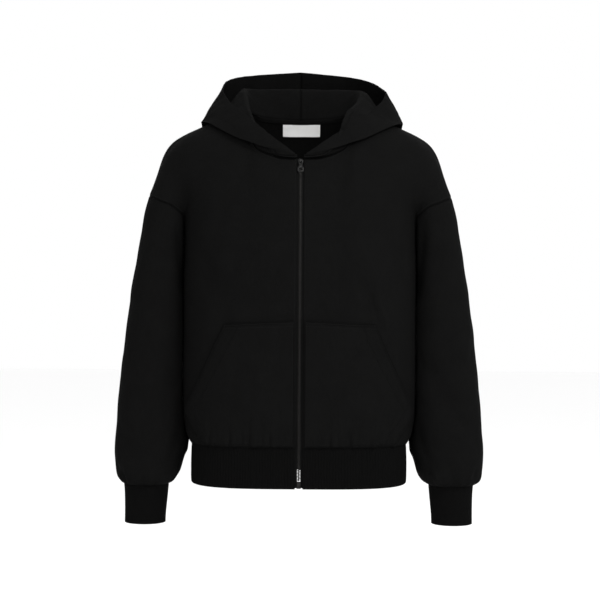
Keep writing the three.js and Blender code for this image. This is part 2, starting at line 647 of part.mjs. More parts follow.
// Moves a point of the hood off the body's outside, where it would touch it
function clearOfBody(at) {
  for (let turn = 0; turn < 4; turn += 1) {
    const here = standOut(at.x, at.y, at.z);
    const slope = new THREE.Vector3(standOut(at.x + 1, at.y, at.z) - here,
      standOut(at.x, at.y + 1, at.z) - here, standOut(at.x, at.y, at.z + 1) - here);
    const steep = slope.length();
    const share = clamp((NECK_SIDE.z + HOOD_FADE - at.z) / HOOD_FADE, 0, 1);
    const missing = share * clamp(HOOD_CLEARANCE - here / steep, 0, HOOD_PUSH);
    at.addScaledVector(slope, missing / steep);
  }
}

// One section of the hood at a share of the neck seam, from the seam to the rim
function hoodSection(rows, along, seam) {
  const column = (name, axis) => rows.map((row) => ({ along: row.along, value: row[name][axis] }));
  const point = (name) => new THREE.Vector3(...[0, 1, 2]
    .map((axis) => lookUp(column(name, axis), 'value', along, 'along')));
  const [ridge, valley, rim] = ['ridge', 'valley', 'rim'].map(point);
  const out = new THREE.Vector3(valley.x, valley.y - NECK_MIDDLE_Y, 0).normalize();
  const stand = lookUp(rows, 'belly', along, 'along');
  const belly = valley.clone().lerp(rim, 0.5).addScaledVector(out, stand);
  const slope = ridge.clone().lerp(valley, 0.5);
  const section = smoothPath([seam.at, ridge, slope, valley, belly, rim], HOOD_STEPS);
  section.slice(HOOD_STEPS[0]).forEach(clearOfBody);
  return section;
}

// Half of the hood, from the zip to the middle of the back
function makeHood(name, rows, sign) {
  const front = neckPlaces('front');
  const back = neckPlaces('back').reverse().slice(1);
  const seam = front.concat(back);
  seam.forEach((point) => { point.at.z += NECK_RISE; });
  const lengths = [0];
  seam.slice(1).forEach((point, i) => lengths.push(lengths[i] + point.at.distanceTo(seam[i].at)));
  const total = lengths[seam.length - 1];
  const sections = seam.map((point, i) => hoodSection(rows, lengths[i] / total, point));
  const steps = sections[0].length;
  const grid = Array.from({ length: steps }, (unused, step) => sections.map((section, column) => {
    const at = section[step].clone();
    if (column === seam.length - 1) at.x = SEAM_GAP / 2;
    at.x *= sign;
    const inward = step === 0 ? seam[column].inward.clone() : null;
    if (inward) inward.x *= sign;
    return place(at, inward);
  }));
  const plumb = (inward, i, j) => {
    if (j === seam.length - 1) inward.x = 0;
    inward.normalize();
  };
  const outside = grid.map((row) => row.map((point) => point.at));
  const inside = insideOf(grid, HOOD_CLOTH, sign, false, plumb);
  addPiece(name, wallGeometry(outside, inside), FLEECE);
}

// A ribbed band between two level outlines: its ribs stand out from a plain wall
function ribbedBand(outlineAt, heights, ribs, closed) {
  const columns = closed ? 2 * ribs : 2 * ribs + 1;
  const rows = heights.map((z) => outlineAt(z, columns));
  const moved = (point, depth) => point.at.clone().addScaledVector(point.inward, depth);
  const inside = rows.map((row) => row.map((point) => moved(point, RIB_CLOTH)));
  const outside = rows.map((row) => row.map((point, j) => moved(point, j % 2 ? -RIB_HEIGHT : 0)));
  return wallGeometry(outside, inside, closed);
}

// Places round the hem band, evenly spaced from one zip edge round the back to the other
function hemOutline(z, columns) {
  const half = mix(HEM.halfBottom, HEM.halfTop, (z - HEM_BOTTOM_Z) / (HEM_SEAM_Z - HEM_BOTTOM_Z));
  const turn = 2 / HEM.power;
  const path = Array.from({ length: HEM_FINE + 1 }, (unused, i) => {
    const angle = mix(-Math.PI / 2, 1.5 * Math.PI, i / HEM_FINE);
    const depth = Math.sin(angle) > 0 ? HEM.back : HEM.front;
    const at = new THREE.Vector3(half * signedPower(Math.cos(angle), turn),
      MID_Y + depth * signedPower(Math.sin(angle), turn), z);
    return place(at);
  }).filter((point) => Math.abs(point.at.x) >= ZIP_EDGE_X || point.at.y > MID_Y);
  const places = alongPath(path, shares(columns - 1));
  places.forEach((point, j) => {
    const next = places[Math.min(j + 1, columns - 1)].at;
    const before = places[Math.max(j - 1, 0)].at;
    point.inward = new THREE.Vector3(before.y - next.y, next.x - before.x, 0).normalize();
  });
  [0, columns - 1].forEach((j) => { places[j].inward.set(0, 1, 0); });
  return places;
}

// Places round a cuff
function cuffOutline(z, columns, sign) {
  const inner = lookUp(CUFF_UP, 'inner', z);
  const outer = lookUp(CUFF_UP, 'outer', z);
  const depth = lookUp(CUFF_UP, 'depth', z);
  return Array.from({ length: columns }, (unused, j) => {
    const angle = (2 * Math.PI * j) / columns;
    const at = new THREE.Vector3(sign * ((inner + outer) / 2 + ((outer - inner) / 2) * Math.cos(angle)),
      lookUp(CUFF_UP, 'mid', z) - depth * Math.sin(angle), z);
    const inward = new THREE.Vector3(-sign * Math.cos(angle) * depth,
      ((outer - inner) / 2) * Math.sin(angle), 0);
    return place(at, inward.normalize());
  });
}

// A kangaroo pocket: the front's own surface, lifted off it
function makePocket(name, sign) {
  const grid = POCKET_EDGE.map((row) => shares(POCKET_COLUMNS).map((share) => {
    const x = mix(row.from, row.to, Math.sin((share * Math.PI) / 2) ** 0.9);
    const top = row.z === POCKET_EDGE[POCKET_EDGE.length - 1].z ? POCKET_TOP_SLOPE * (row.to - x) : 0;
    return place(onBody(x * sign, row.z + top, 'front'));
  }));
  const inside = insideOf(grid, -POCKET_LIFT, sign);
  const outside = insideOf(grid, -POCKET_LIFT - POCKET_CLOTH, sign);
  addPiece(name, wallGeometry(outside, inside), FLEECE);
}

// The outside of the front along the zip, and a strip that follows it at a depth behind it
const zipLineY = (z) => MID_Y - (z < HEM_SEAM_Z ? HEM.front : lookUp(BODY, 'front', z));
function zipStrip(fromX, toX, behind, thickness, topZ, bottomZ) {
  const rows = shares(ZIP_STEPS).map((share) => {
    const z = mix(bottomZ, topZ, share);
    return [fromX, toX].map((x) => new THREE.Vector3(x, zipLineY(z) + behind, z));
  });
  const back = rows.map((row) => row.map((at) => at.clone().setY(at.y + thickness)));
  return wallGeometry(rows, back);
}

// A patch inside the back neck, a strip of cloth along the inside of the back
function neckPatch(fromX, toX, columns, topAt, height, behind, thickness) {
  const grid = [1, 0].map((down) => shares(columns).map((share) => {
    const x = mix(fromX, toX, share);
    return place(onBody(x, topAt(x) - down * height, 'back'));
  }));
  const outside = insideOf(grid, behind, -1);
  const inside = insideOf(grid, behind + thickness, -1);
  return wallGeometry(outside, inside);
}
const backNeckZ = (x) => lookUp(NECK.back, 'z', Math.abs(x), 'x');

// Zip hardware, drawn round the middle of the zip chain: x across, y out to the back, z up
const wasm = await Module();
wasm.setup();
function solidOf(geometry) {
  const bare = geometry.index ? geometry.toNonIndexed() : geometry.clone();
  bare.deleteAttribute('normal');
  bare.deleteAttribute('uv');
  const merged = mergeVertices(bare, 1e-4);
  return new wasm.Manifold(new wasm.Mesh({
    numProp: 3,
    vertProperties: merged.attributes.position.array,
    triVerts: new Uint32Array(merged.index.array),
  }));
}
function geometryOf(solid) {
  const mesh = solid.getMesh();
  const geometry = new THREE.BufferGeometry();
  geometry.setAttribute('position', new THREE.BufferAttribute(new Float32Array(mesh.vertProperties), 3));
  geometry.setIndex(new THREE.BufferAttribute(new Uint32Array(mesh.triVerts), 1));
  geometry.computeVertexNormals();
  return geometry;
}
function block(width, depth, height, x, y, z) {
  return new THREE.BoxGeometry(width, depth, height).translate(x, y, z);
}

const EXTRUDE = { bevelEnabled: false, curveSegments: 10 };

// A flat plate in the x-z plane, with its thickness towards the front from y
function plate(shape, thickness, y) {
  const geometry = new THREE.ExtrudeGeometry(shape, { ...EXTRUDE, depth: thickness });
  return geometry.rotateX(Math.PI / 2).translate(0, y, 0);
}
function sliderOutline() {
  const top = SLIDER.width / 2;
  const low = top - SLIDER.taper;
  const half = SLIDER.height / 2;
  const shape = new THREE.Shape();
  shape.moveTo(-low, -half);
  shape.lineTo(low, -half);
  shape.lineTo(top, half - SLIDER.round);
  shape.quadraticCurveTo(top, half, top - 2, half);
  shape.lineTo(-top + 2, half);
  shape.quadraticCurveTo(-top, half, -top, half - SLIDER.round);
  return shape;
}
function archGeometry() {
  const outer = ARCH.inner + ARCH.wall;
  const shape = new THREE.Shape();
  shape.moveTo(-outer, -JOIN);
  shape.lineTo(-outer, ARCH.leg);
  shape.absarc(0, ARCH.leg, outer, Math.PI, 0, true);
  shape.lineTo(outer, -JOIN);
  shape.lineTo(ARCH.inner, -JOIN);
  shape.lineTo(ARCH.inner, ARCH.leg);
  shape.absarc(0, ARCH.leg, ARCH.inner, 0, Math.PI, false);
  shape.lineTo(-ARCH.inner, -JOIN);
  const geometry = new THREE.ExtrudeGeometry(shape, { ...EXTRUDE, depth: ARCH.width });
  geometry.translate(0, 0, -ARCH.width / 2).rotateZ(Math.PI / 2).rotateX(Math.PI / 2).rotateZ(Math.PI / 2);
  return geometry;
}
function sliderGeometry() {
  const face = SLIDER.gap / 2;
  const edgeX = SLIDER.width / 2 - SLIDER.taper - FLANGE.fromEdge;
  const flangeY = face - FLANGE.depth / 2 + JOIN / 2;
  const side = (sign) => [-1, 1].map((way) => block(FLANGE.width, FLANGE.depth + JOIN, FLANGE.length,
    sign * edgeX, way * flangeY, (FLANGE.length - SLIDER.height) / 2));
  const pieces = [
    plate(sliderOutline(), SLIDER.plate, -face),
    plate(sliderOutline(), SLIDER.plate, face + SLIDER.plate),
    block(SLIDER.post, SLIDER.gap + 2 * JOIN, 3, 0, 0, SLIDER.height / 2 - 1.7),
    ...side(1),
    ...side(-1),
    archGeometry().translate(0, -face - SLIDER.plate, 0),
  ];
  return geometryOf(pieces.map(solidOf).reduce((sum, solid) => sum.add(solid)));
}

// The pull: a bar in the slider's arch, a neck, and a tab with a round hole. The bar is at z 0.
function pullGeometry() {
  const neck = PULL.neckWidth / 2;
  const tab = PULL.tabWidth / 2;
  const top = PULL_BAR / 2;
  const neckEnd = -PULL.neckLength;
  const low = neckEnd - PULL.tabLength;
  const half = [[neck - 1, top], [neck, top - 1], [neck - 0.8, neckEnd + 2], [neck, neckEnd],
    [tab, neckEnd - 2], [tab, low + 2.5], [tab - 0.7, low + 0.7], [tab - 2.5, low]];
  const outline = half.concat(half.map(([x, z]) => [-x, z]).reverse());
  const shape = new THREE.Shape(outline.map(([x, z]) => new THREE.Vector2(x, z)));
  const slotTop = -PULL_BAR / 2;
  const slotLow = slotTop - PULL_SLOT.height;
  const slotX = PULL_SLOT.width / 2;
  const slot = [[-slotX, slotTop], [-slotX, slotLow], [slotX, slotLow], [slotX, slotTop]];
  const holeZ = neckEnd - PULL.tabLength / 2;
  const hole = Array.from({ length: HOLE_SIDES }, (unused, i) => {
    const angle = (2 * Math.PI * i) / HOLE_SIDES;
    return [PULL.hole * Math.cos(angle), holeZ + PULL.hole * Math.sin(angle)];
  });
  [slot, hole].forEach((ring) => {
    shape.holes.push(new THREE.Path(ring.map(([x, z]) => new THREE.Vector2(x, z))));
  });
  return plate(shape, PULL.thickness, PULL.thickness / 2);
}

// The slider and its pull lean as the chest does at their height
function makeZip() {
  const chainBehind = ZIP_MIDDLE_DEPTH - CHAIN_THICKNESS / 2;
  const tapeBehind = ZIP_MIDDLE_DEPTH - ZIP_TAPE_CLOTH / 2;
  const tapeWidths = [[TAPE_INNER_X, TAPE_OUTER_X, 'left'], [-TAPE_OUTER_X, -TAPE_INNER_X, 'right']];
  tapeWidths.forEach(([fromX, toX, side]) => {
    const tape = zipStrip(fromX, toX, tapeBehind, ZIP_TAPE_CLOTH, NECK_FRONT_Z - CHAIN_END, HEM_BOTTOM_Z + 1);
    addPiece(`zip_tape_${side}`, tape, ZIP_CLOTH);
  });
  const chainTop = SLIDER.z - CHAIN_END;
  const boxTop = HEM_BOTTOM_Z + BOX.height;
  addPiece('zip_chain', zipStrip(-CHAIN_WIDTH / 2, CHAIN_WIDTH / 2, chainBehind, CHAIN_THICKNESS,
    chainTop, boxTop + SEAM_GAP), ZIP_TEETH);
  const boxY = zipLineY(HEM_BOTTOM_Z) + ZIP_MIDDLE_DEPTH;
  addPiece('zip_box', block(CHAIN_WIDTH, BOX.thickness, BOX.height, 0, boxY, boxTop - BOX.height / 2), METAL);
  const frame = new THREE.Group();
  const step = 5;
  frame.position.set(0, zipLineY(SLIDER.z) + ZIP_MIDDLE_DEPTH, SLIDER.z);
  frame.rotation.x = Math.atan2(zipLineY(SLIDER.z - step) - zipLineY(SLIDER.z + step), 2 * step);
  hoodie.add(frame);
  addPiece('zip_slider', sliderGeometry(), METAL, frame);
  const pull = addPiece('zip_pull', pullGeometry(), METAL, frame);
  pull.position.y = -SLIDER.gap / 2 - SLIDER.plate - SEAM_GAP - PULL.thickness / 2;
}

makeFront('front_left', 1);
makeFront('front_right', -1);
makeBack();
makeSleeve('sleeve_left', 1);
makeSleeve('sleeve_right', -1);
makeHood('hood_left', HOOD_LEFT, 1);
makeHood('hood_right', HOOD_RIGHT, -1);
makePocket('pocket_left', 1);
makePocket('pocket_right', -1);
addPiece('hem_rib', ribbedBand(hemOutline, [HEM_BOTTOM_Z, HEM_SEAM_Z - SEAM_GAP], HEM_RIBS, false), RIB_KNIT);
[['cuff_left', 1], ['cuff_right', -1]].forEach(([name, sign]) => {
  const outline = (z, columns) => cuffOutline(z, columns, sign);
  const heights = CUFF_UP.map((row) => row.z);
  addPiece(name, ribbedBand(outline, heights, CUFF_RIBS, true), RIB_KNIT);
});
addPiece('neck_tape', neckPatch(-TAPE_HALF, TAPE_HALF, 12, (x) => backNeckZ(x) - 1.5, TAPE_HEIGHT,
  CLOTH + PATCH_GAP, TAPE_CLOTH), ZIP_CLOTH);
addPiece('neck_label', neckPatch(LABEL.fromX, LABEL.toX, 6, () => LABEL.topZ, LABEL.height,
  CLOTH + PATCH_GAP, LABEL.cloth), LABEL_CLOTH);
makeZip();

export default hoodie;
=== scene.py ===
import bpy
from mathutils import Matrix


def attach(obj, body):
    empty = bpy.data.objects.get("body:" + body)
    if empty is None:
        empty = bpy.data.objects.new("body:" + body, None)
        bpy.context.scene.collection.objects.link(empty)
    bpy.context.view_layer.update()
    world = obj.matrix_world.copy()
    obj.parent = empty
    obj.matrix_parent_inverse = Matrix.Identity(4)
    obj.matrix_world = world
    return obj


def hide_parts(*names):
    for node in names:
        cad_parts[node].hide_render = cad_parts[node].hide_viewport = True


bl_info = {
    "name": "Zip up hoodie",
    "version": (1, 0, 0),
    "blender": (4, 5, 0),
    "location": "View3D > Sidebar > Hoodie",
    "description": "Makes a zip up hoodie in heavy fleece, filled out with no wearer",
    "category": "Add Mesh",
}

import math

import bpy
import numpy as np
from mathutils import Vector

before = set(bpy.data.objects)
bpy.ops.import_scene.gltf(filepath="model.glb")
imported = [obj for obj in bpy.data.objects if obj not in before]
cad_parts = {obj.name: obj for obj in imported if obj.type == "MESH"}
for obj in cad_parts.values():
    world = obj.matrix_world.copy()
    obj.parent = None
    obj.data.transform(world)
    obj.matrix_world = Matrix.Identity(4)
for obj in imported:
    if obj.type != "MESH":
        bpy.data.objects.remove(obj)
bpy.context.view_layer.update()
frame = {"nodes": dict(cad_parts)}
MM = 0.001
GARMENT = "garment"

# Sizes of the cloth and its seams, in millimetres as in the source
CLOTH = 2.2
HOOD_CLOTH = 3.2
SEAM_GAP = 0.3
SIDE_CLEARANCE = 2.5
HOOD_CLEARANCE = 5
HOOD_FADE = 12
HOOD_PUSH = 12
CLEAR_TURNS = 4
HOOD_TURNS = 4
HOOD_EASING = 4
FOLD_ROW = 58
FOLD_ROWS = 16
FOLD_SHARE = 0.36
FOLD_THIN = 0.7
MID_Y = 12
NECK_MIDDLE_Y = -20
NECK_RISE = 0.66
HEM_SEAM_Z = -604
HEM_BOTTOM_Z = -674
UNDERARM_Z = -225
SHOULDER_END_Z = -154
CUFF_SEAM_Z = -682
CUFF_BOTTOM_Z = -751
NECK_FRONT_Z = -94
NECK_SIDE = (104, 7)
ZIP_EDGE_X = 6.25

# Numbers of rows and columns that the smooth surfaces pass through, and points on each stretch
NECK_COLUMNS = {"front": 14, "back": 12}
SHOULDER_COLUMNS = 16
SIDE_ROWS = 20
ARMHOLE_ROWS = 20
PANEL_ROWS = SIDE_ROWS + ARMHOLE_ROWS
SLEEVE_COLUMNS = 2 * ARMHOLE_ROWS
SLEEVE_ROWS = 32
HOOD_STEPS = (6, 6, 6, 8, 6)
ROW_CROWDING = 1.6
HEM_CROWDING = 1.2
SIDE_SPREAD = 1.2
FINE = 480
SMOOTH_STEPS = 3
EDGE_STEPS = (0.1, 0.22)
ARM_POWER = 2.4
UNION_POWER = 6
ARM_FADE = 30
FOLD_FADE = 60
EDGE_SHARE = 0.999


class Table:
    """Columns of sizes down a row of places, read in between by a curve that never overshoots."""

    def __init__(self, names, rows):
        self.columns = {name: np.array([row[k] for row in rows], float) for k, name in enumerate(names)}
        self.key = self.columns[names[0]]

    def slopes(self, name):
        steps = np.diff(self.columns[name]) / np.diff(self.key)
        left, right = steps[:-1], steps[1:]
        same = left * right > 0
        inner = np.where(same, 2 * left * right / np.where(same, left + right, 1), 0)
        return np.concatenate([[0], inner, [0]])

    def at(self, name, place):
        place = np.clip(place, self.key[0], self.key[-1])
        row = np.clip(np.searchsorted(self.key, place, side="right") - 1, 0, len(self.key) - 2)
        span = self.key[row + 1] - self.key[row]
        t = (place - self.key[row]) / span
        slopes = self.slopes(name)
        values = self.columns[name]
        return ((2 * t ** 3 - 3 * t ** 2 + 1) * values[row] + (t ** 3 - 2 * t ** 2 + t) * slopes[row] * span
                + (3 * t ** 2 - 2 * t ** 3) * values[row + 1] + (t ** 3 - t ** 2) * slopes[row + 1] * span)


BODY = Table(("z", "half", "front", "back", "power"), (
    (-604, 198, 161, 118, 3.4),
    (-590, 206, 163, 122, 3.2),
    (-570, 210.5, 165, 124, 3.0),
    (-545, 213, 166, 125, 2.9),
    (-480, 214, 166, 126, 2.8),
    (-400, 214, 165, 127, 2.7),
    (-300, 214, 161, 128, 2.7),
    (-225, 214, 155, 128, 2.6),
    (-184, 215, 149, 127, 2.6),
    (-154, 221, 144, 124, 2.5),
    (-120, 236, 134, 118, 2.4),
    (-94, 248, 124, 110, 2.3),
    (-75, 252.5, 115, 104, 2.2),
    (-64, 246, 109, 99, 2.2),
    (-42, 219, 94, 86, 2.1),
    (-25, 183, 78, 74, 2.0),
    (-9, 150, 60, 61, 2.0),
    (2, 120, 44, 53, 2.0),
    (7, 104, 36, 49, 2.0),
))
ARM = Table(("z", "inner", "outer", "depth", "mid"), (
    (-682, 238, 319, 39, -22),
    (-677, 231, 325, 47, -22),
    (-668, 223, 331, 54, -21),
    (-657, 217, 334, 58, -20),
    (-646, 213.5, 336, 60, -19),
    (-634, 210, 337, 62, -18),
    (-619, 204, 337.5, 64, -15),
    (-585, 203, 336, 65, -12),
    (-541, 203, 333, 66, -8),
    (-497, 203, 330, 67, -3),
    (-452, 203, 325.6, 69, 1),
    (-408, 203, 321, 71, 5),
    (-363, 203, 315.5, 72, 8),
    (-319, 203, 310, 73, 10),
    (-275, 203, 302.5, 74, 12),
    (-225, 203, 294.5, 74, 12),
    (-184, 200, 287, 73, 12),
    (-153, 192, 279, 71, 12),
    (-119, 172, 267, 67, 12),
    (-92, 150, 259, 60, 12),
    (-75, 138, 252.5, 54, 12),
    (-64, 132, 246, 49, 12),
    (-53, 126, 236, 43, 12),
    (-42, 120, 219, 35, 12),
    (-25, 105, 183, 20, 12),
    (-9, 90, 150, 8, 12),
    (2, 80, 120, 2, 12),
    (7, 70, 104, 0, 12),
))
ARMHOLE = Table(("angle", "z"), ((0, -154), (45, -160), (90, -172), (120, -186), (150, -200), (180, -225)))
NECK = {
    "front": ((ZIP_EDGE_X, NECK_FRONT_Z), (34, -94), (61, -86), (83, -72), (91, -52), (97, -26), NECK_SIDE),
    "back": ((0, -4), (35, -2.5), (70, 0), NECK_SIDE),
}
BACK_NECK = Table(("x", "z"), NECK["back"])

# The hood's sections round half the neck: along is the share of the neck seam from the zip to the
# middle of the back, then ridge x y z, valley x y z, rim x y z and belly
HOOD_COLUMNS = ("along", "rx", "ry", "rz", "vx", "vy", "vz", "ex", "ey", "ez", "belly")
HOOD_LEFT = Table(HOOD_COLUMNS, (
    (0, 7, -114.5, -92, 8.5, -116.5, -89.5, 11, -117, -86, 0),
    (0.08, 34, -115, -89, 33, -119, -82, 28.5, -117, -74, 1),
    (0.166, 58, -106, -74, 66, -114, -74, 54, -102, -55, 3),
    (0.255, 70, -90, -52, 94, -103, -64, 74, -85, -41, 5),
    (0.334, 76, -70, -36, 117, -88, -57, 92, -67, -28, 7),
    (0.43, 84, -46, -17, 148, -56, -42, 113, -43, -13, 8),
    (0.54, 97, -18, 3, 174, -20, -27, 138, -12, 10, 8),
    (0.641, 110, 12, 24, 188, 16, -20, 156, 18, 31, 8),
    (0.72, 118, 38, 40, 186, 52, -36, 161, 44, 46, 11),
    (0.8, 117, 60, 48, 168, 103, -74, 150, 82, 63, 17),
    (0.85, 98, 71, 51, 142, 132, -98, 129, 104, 76.5, 22),
    (0.9, 74, 79, 53, 112, 156, -118, 102, 125, 86, 27),
    (1, 0, 82, 54, 0, 180, -145, 0, 155, 101, 34),
))
HOOD_RIGHT = Table(HOOD_COLUMNS, (
    (0, 7, -114.5, -92, 8.5, -116.5, -89.5, 10, -117, -87, 0),
    (0.08, 34, -115, -89, 34, -119, -80, 31, -118, -71, 1),
    (0.166, 59, -107, -73, 66, -114, -74, 54, -106, -53, 3),
    (0.255, 76, -88, -45, 94, -103, -64, 78, -84, -31, 5),
    (0.334, 86, -70, -25, 116, -88, -57, 96, -62, -14, 7),
    (0.43, 93, -46, -8, 146, -56, -42, 114, -42, 0, 8),
    (0.54, 99, -16, 10, 168, -20, -27, 131, -14, 17, 8),
    (0.641, 104, 14, 30, 183, 16, -20, 142, 16, 34, 9),
    (0.72, 108, 40, 45, 182, 52, -36, 149, 42, 49, 12),
    (0.8, 108, 62, 51.5, 164, 103, -74, 147, 82, 68, 18),
    (0.85, 92, 72, 52.5, 138, 132, -98, 130, 104, 80.5, 22),
    (0.9, 70, 79, 53.5, 108, 157, -119, 103, 127, 89, 27),
    (1, 0, 82, 54, 0, 180, -145, 0, 155, 101, 34),
))
HEM = {"top": 195.5, "bottom": 196.5, "front": 160, "back": 117, "power": 3.4}
CUFF = Table(("z", "inner", "outer", "depth", "mid"), (
    (CUFF_BOTTOM_Z, 245, 315.5, 32, -26),
    (-697, 241, 316.5, 34, -23),
    (CUFF_SEAM_Z - SEAM_GAP, 240, 317.5, 35, -22),
))
POCKET = Table(("z", "to"), (
    (-601.5, 168), (-572, 184), (-542, 199), (-504, 182), (-466, 165), (-428, 148), (-388, 131),
))
POCKET_FROM = 9
POCKET_TOP_SLOPE = 0.05
POCKET_LIFT = 1.4
POCKET_CLOTH = 2.2
POCKET_DIP = 0.6
PUFF = 0.9
OPENING_PUFF = 2.6
PUFF_FADE = 24
PUFF_REACH = 34
PUFF_FROM = (8, 60)
RIB_CLOTH = 2
RIB_HEIGHT = 0.9
RIB_POINTS = 8
RIB_LEAN = 0.25
RIB_WAVE = 0.7
RIB_INSIDE_WAVE = 0.4

# Folds of the body: where a trough runs in x and z, its width and its depth; a ridge is a trough
# of less than no depth
BODY_FOLDS = {
    "front": (
        (116, -318, 143, -395, 14, 6.0),
        (132, -330, 152, -392, 9, -2.0),
        (-205, -270, -130, -345, 20, 4.5),
        (-196, -235, -150, -300, 12, 3.0),
        (196, -240, 160, -330, 16, 4.5),
        (-120, -120, -170, -215, 26, 3.0),
        (128, -118, 176, -205, 24, 3.0),
        (-60, -150, -96, -215, 30, 2.0),
        (56, -200, 90, -290, 34, 2.2),
        (-176, -588, -190, -560, 10, 3.5),
        (-40, -300, -70, -372, 26, 1.8),
        (90, -588, 96, -560, 12, 2.0),
        (150, -590, 168, -545, 11, 3.0),
        (-100, -592, -92, -570, 10, 2.0),
    ),
    "back": (
        (-60, -560, 30, -585, 16, 5.0),
        (150, -300, 70, -400, 24, 5.0),
        (-160, -260, -80, -380, 22, 5.0),
        (110, -570, 150, -592, 15, 4.0),
        (-170, -200, -120, -260, 18, 4.0),
        (170, -210, 110, -250, 18, 4.0),
        (0, -180, 0, -330, 34, 3.0),
        (-150, -470, -110, -560, 20, 4.0),
        (120, -430, 100, -520, 22, 3.5),
    ),
}

# Folds of the sleeves: side, then where each runs in degrees round the arm and in height
SLEEVE_FOLDS = (
    (1, 60, -400, 130, -455, 18, 4.0),
    (1, 110, -470, 80, -560, 17, 4.0),
    (1, 300, -380, 230, -460, 20, 5.0),
    (1, 45, -652, 60, -676, 9, 3.5),
    (1, 95, -640, 88, -672, 10, 3.5),
    (1, 118, -205, 140, -330, 14, 4.5),
    (1, 70, -560, 40, -610, 14, 3.0),
    (1, 30, -430, 55, -480, 15, 2.5),
    (1, 140, -590, 120, -640, 13, 3.5),
    (1, 250, -560, 290, -620, 16, 4.5),
    (-1, 70, -420, 135, -480, 20, 4.0),
    (-1, 120, -500, 95, -600, 18, 4.0),
    (-1, 290, -400, 235, -470, 20, 5.0),
    (-1, 20, -640, 50, -668, 10, 4.0),
    (-1, 80, -645, 92, -674, 10, 3.5),
    (-1, 120, -210, 142, -320, 14, 4.5),
    (-1, 40, -585, 70, -625, 13, 3.0),
    (-1, 55, -330, 100, -370, 18, 2.5),
    (-1, 135, -600, 120, -648, 12, 3.5),
    (-1, 260, -570, 300, -630, 16, 4.5),
)

# Pleats above a cuff: depth, number round the arm, turn for the side and start of each wave
CUFF_PLEATS = ((1.5, 11, 1, 0), (1.2, 7, 2.2, 1), (0.9, 17, 0, 0.6))

# Depths and reaches of the seams, the gathers and what fades beside them
SEAM_DIP = 1.0
SEAM_DIP_WIDTH = 1.7
SEAM_FADE = 26
RIB_TUCK = 0.4
HEM_FADE = 7
HOOD_SEAM_FADE = 18
ZIP_FADE = (14, 48)
GATHER_REACH = 11
HEM_GATHER = 0.8
UNDERARM_FADE = (UNDERARM_Z - 30, UNDERARM_Z + 10)
SOFT_FROM = (-300, -200)
SOFT_REACH = 12
SOFT_TURNS = 48
CORNER_WEIGHTS = (0.2, 0.5, 0.8, 1)
MITRE_REACH = 4
ARM_RADIUS = 66
EDGES = ("low", "top", "left", "right")
FAR = 200


def degrees(angle):
    """Puts an angle in radians between 0 and 180 degrees, the same on both sides of the arm."""
    return np.abs((np.degrees(angle) + 180) % 360 - 180)


def signed_power(value, power):
    return np.sign(value) * np.abs(value) ** power


def mix(a, b, share):
    return a + (b - a) * share


def beside(distance, reach):
    """1 on an edge, and less and less beyond its reach."""
    return np.exp(-((distance / reach) ** 2))


def unit(vectors):
    """Vectors of length one along the last axis."""
    return vectors / np.maximum(np.linalg.norm(vectors, axis=-1, keepdims=True), 1e-12)


def stack(x, y, z):
    """Points from their three coordinates, which may be single numbers."""
    return np.stack(np.broadcast_arrays(x, y, z), axis=-1).astype(float)


def bulge(offset, half, depth, power):
    """How far a rounded section stands out at an offset from its middle."""
    share = np.clip(np.abs(offset / np.maximum(half, 1e-6)), 0, 1)
    return depth * (1 - share ** power) ** (1 / power)


def body_depth(x, z, face):
    """How far the front or the back stands out from the side seams, with the shoulder over the arm."""
    torso = bulge(x, BODY.at("half", z), BODY.at(face, z), BODY.at("power", z))
    inner, outer = ARM.at("inner", z), ARM.at("outer", z)
    middle = (inner + outer) / 2
    share = np.clip((z - UNDERARM_Z) / ARM_FADE, 0, 1)
    arm = share * bulge(np.abs(x) - middle, outer - middle, ARM.at("depth", z), ARM_POWER)
    return (torso ** UNION_POWER + arm ** UNION_POWER) ** (1 / UNION_POWER)


def on_body(x, z, face):
    """Points of the body's outside, with no folds."""
    way = -1 if face == "front" else 1
    return stack(x, MID_Y + way * body_depth(x, z, face), z)


def trough(a, b, a0, b0, a1, b1, width, depth):
    """Depth of one fold, from the distance to the line that it runs along."""
    line = np.array((a1 - a0, b1 - b0), float)
    along = np.clip(((a - a0) * line[0] + (b - b0) * line[1]) / (line @ line), 0, 1)
    distance = np.hypot(a - a0 - along * line[0], b - b0 - along * line[1])
    ends = 0.55 + 0.45 * np.sin(math.pi * (0.15 + 0.7 * along))
    return depth * beside(distance, width) * ends


def swell(a, b, seed):
    """Slow unevenness of a hand-cut cloth, in millimetres, the same each time."""
    waves = ((97, 31, 0.4), (61, -74, 1.7), (43, 52, 2.9), (-29, 66, 4.1), (23, 19, 5.3))
    total = 0
    for number, (long, short, phase) in enumerate(waves):
        turn = 2 * math.pi * (a / long + b / (2.3 * short)) + phase * seed
        total = total + np.sin(turn) / (1 + 0.5 * number)
    return 0.34 * total


def gather(around, height, seed):
    """Uneven small pleats where cloth is drawn on to a rib, from the height above its seam."""
    ripple = (np.sin(2 * math.pi * around / 17.3 + seed)
              + 0.8 * np.sin(2 * math.pi * around / 29.1 + 2.1 * seed)
              + 0.6 * np.sin(2 * math.pi * around / 11.7 + 3.3 * seed))
    near = np.maximum(height, 0) / GATHER_REACH
    return ripple * near * np.exp(1 - near)


def smooth_step(low, high, value):
    t = np.clip((value - low) / (high - low), 0, 1)
    return t * t * (3 - 2 * t)


def body_relief(x, z, face):
    """How far the folds, the swell and the gathers move the body in, in millimetres."""
    folds = sum(trough(x, z, *fold) for fold in BODY_FOLDS[face])
    seed = 1.0 if face == "front" else 2.0
    level = folds + swell(x, z, seed) + HEM_GATHER * gather(x, z - HEM_SEAM_Z, seed)
    return level * smooth_step(*ZIP_FADE, np.abs(x)) if face == "front" else level


def sizes():
    """The sizes that a user can set."""
    return bpy.context.scene.hoodie_sizes


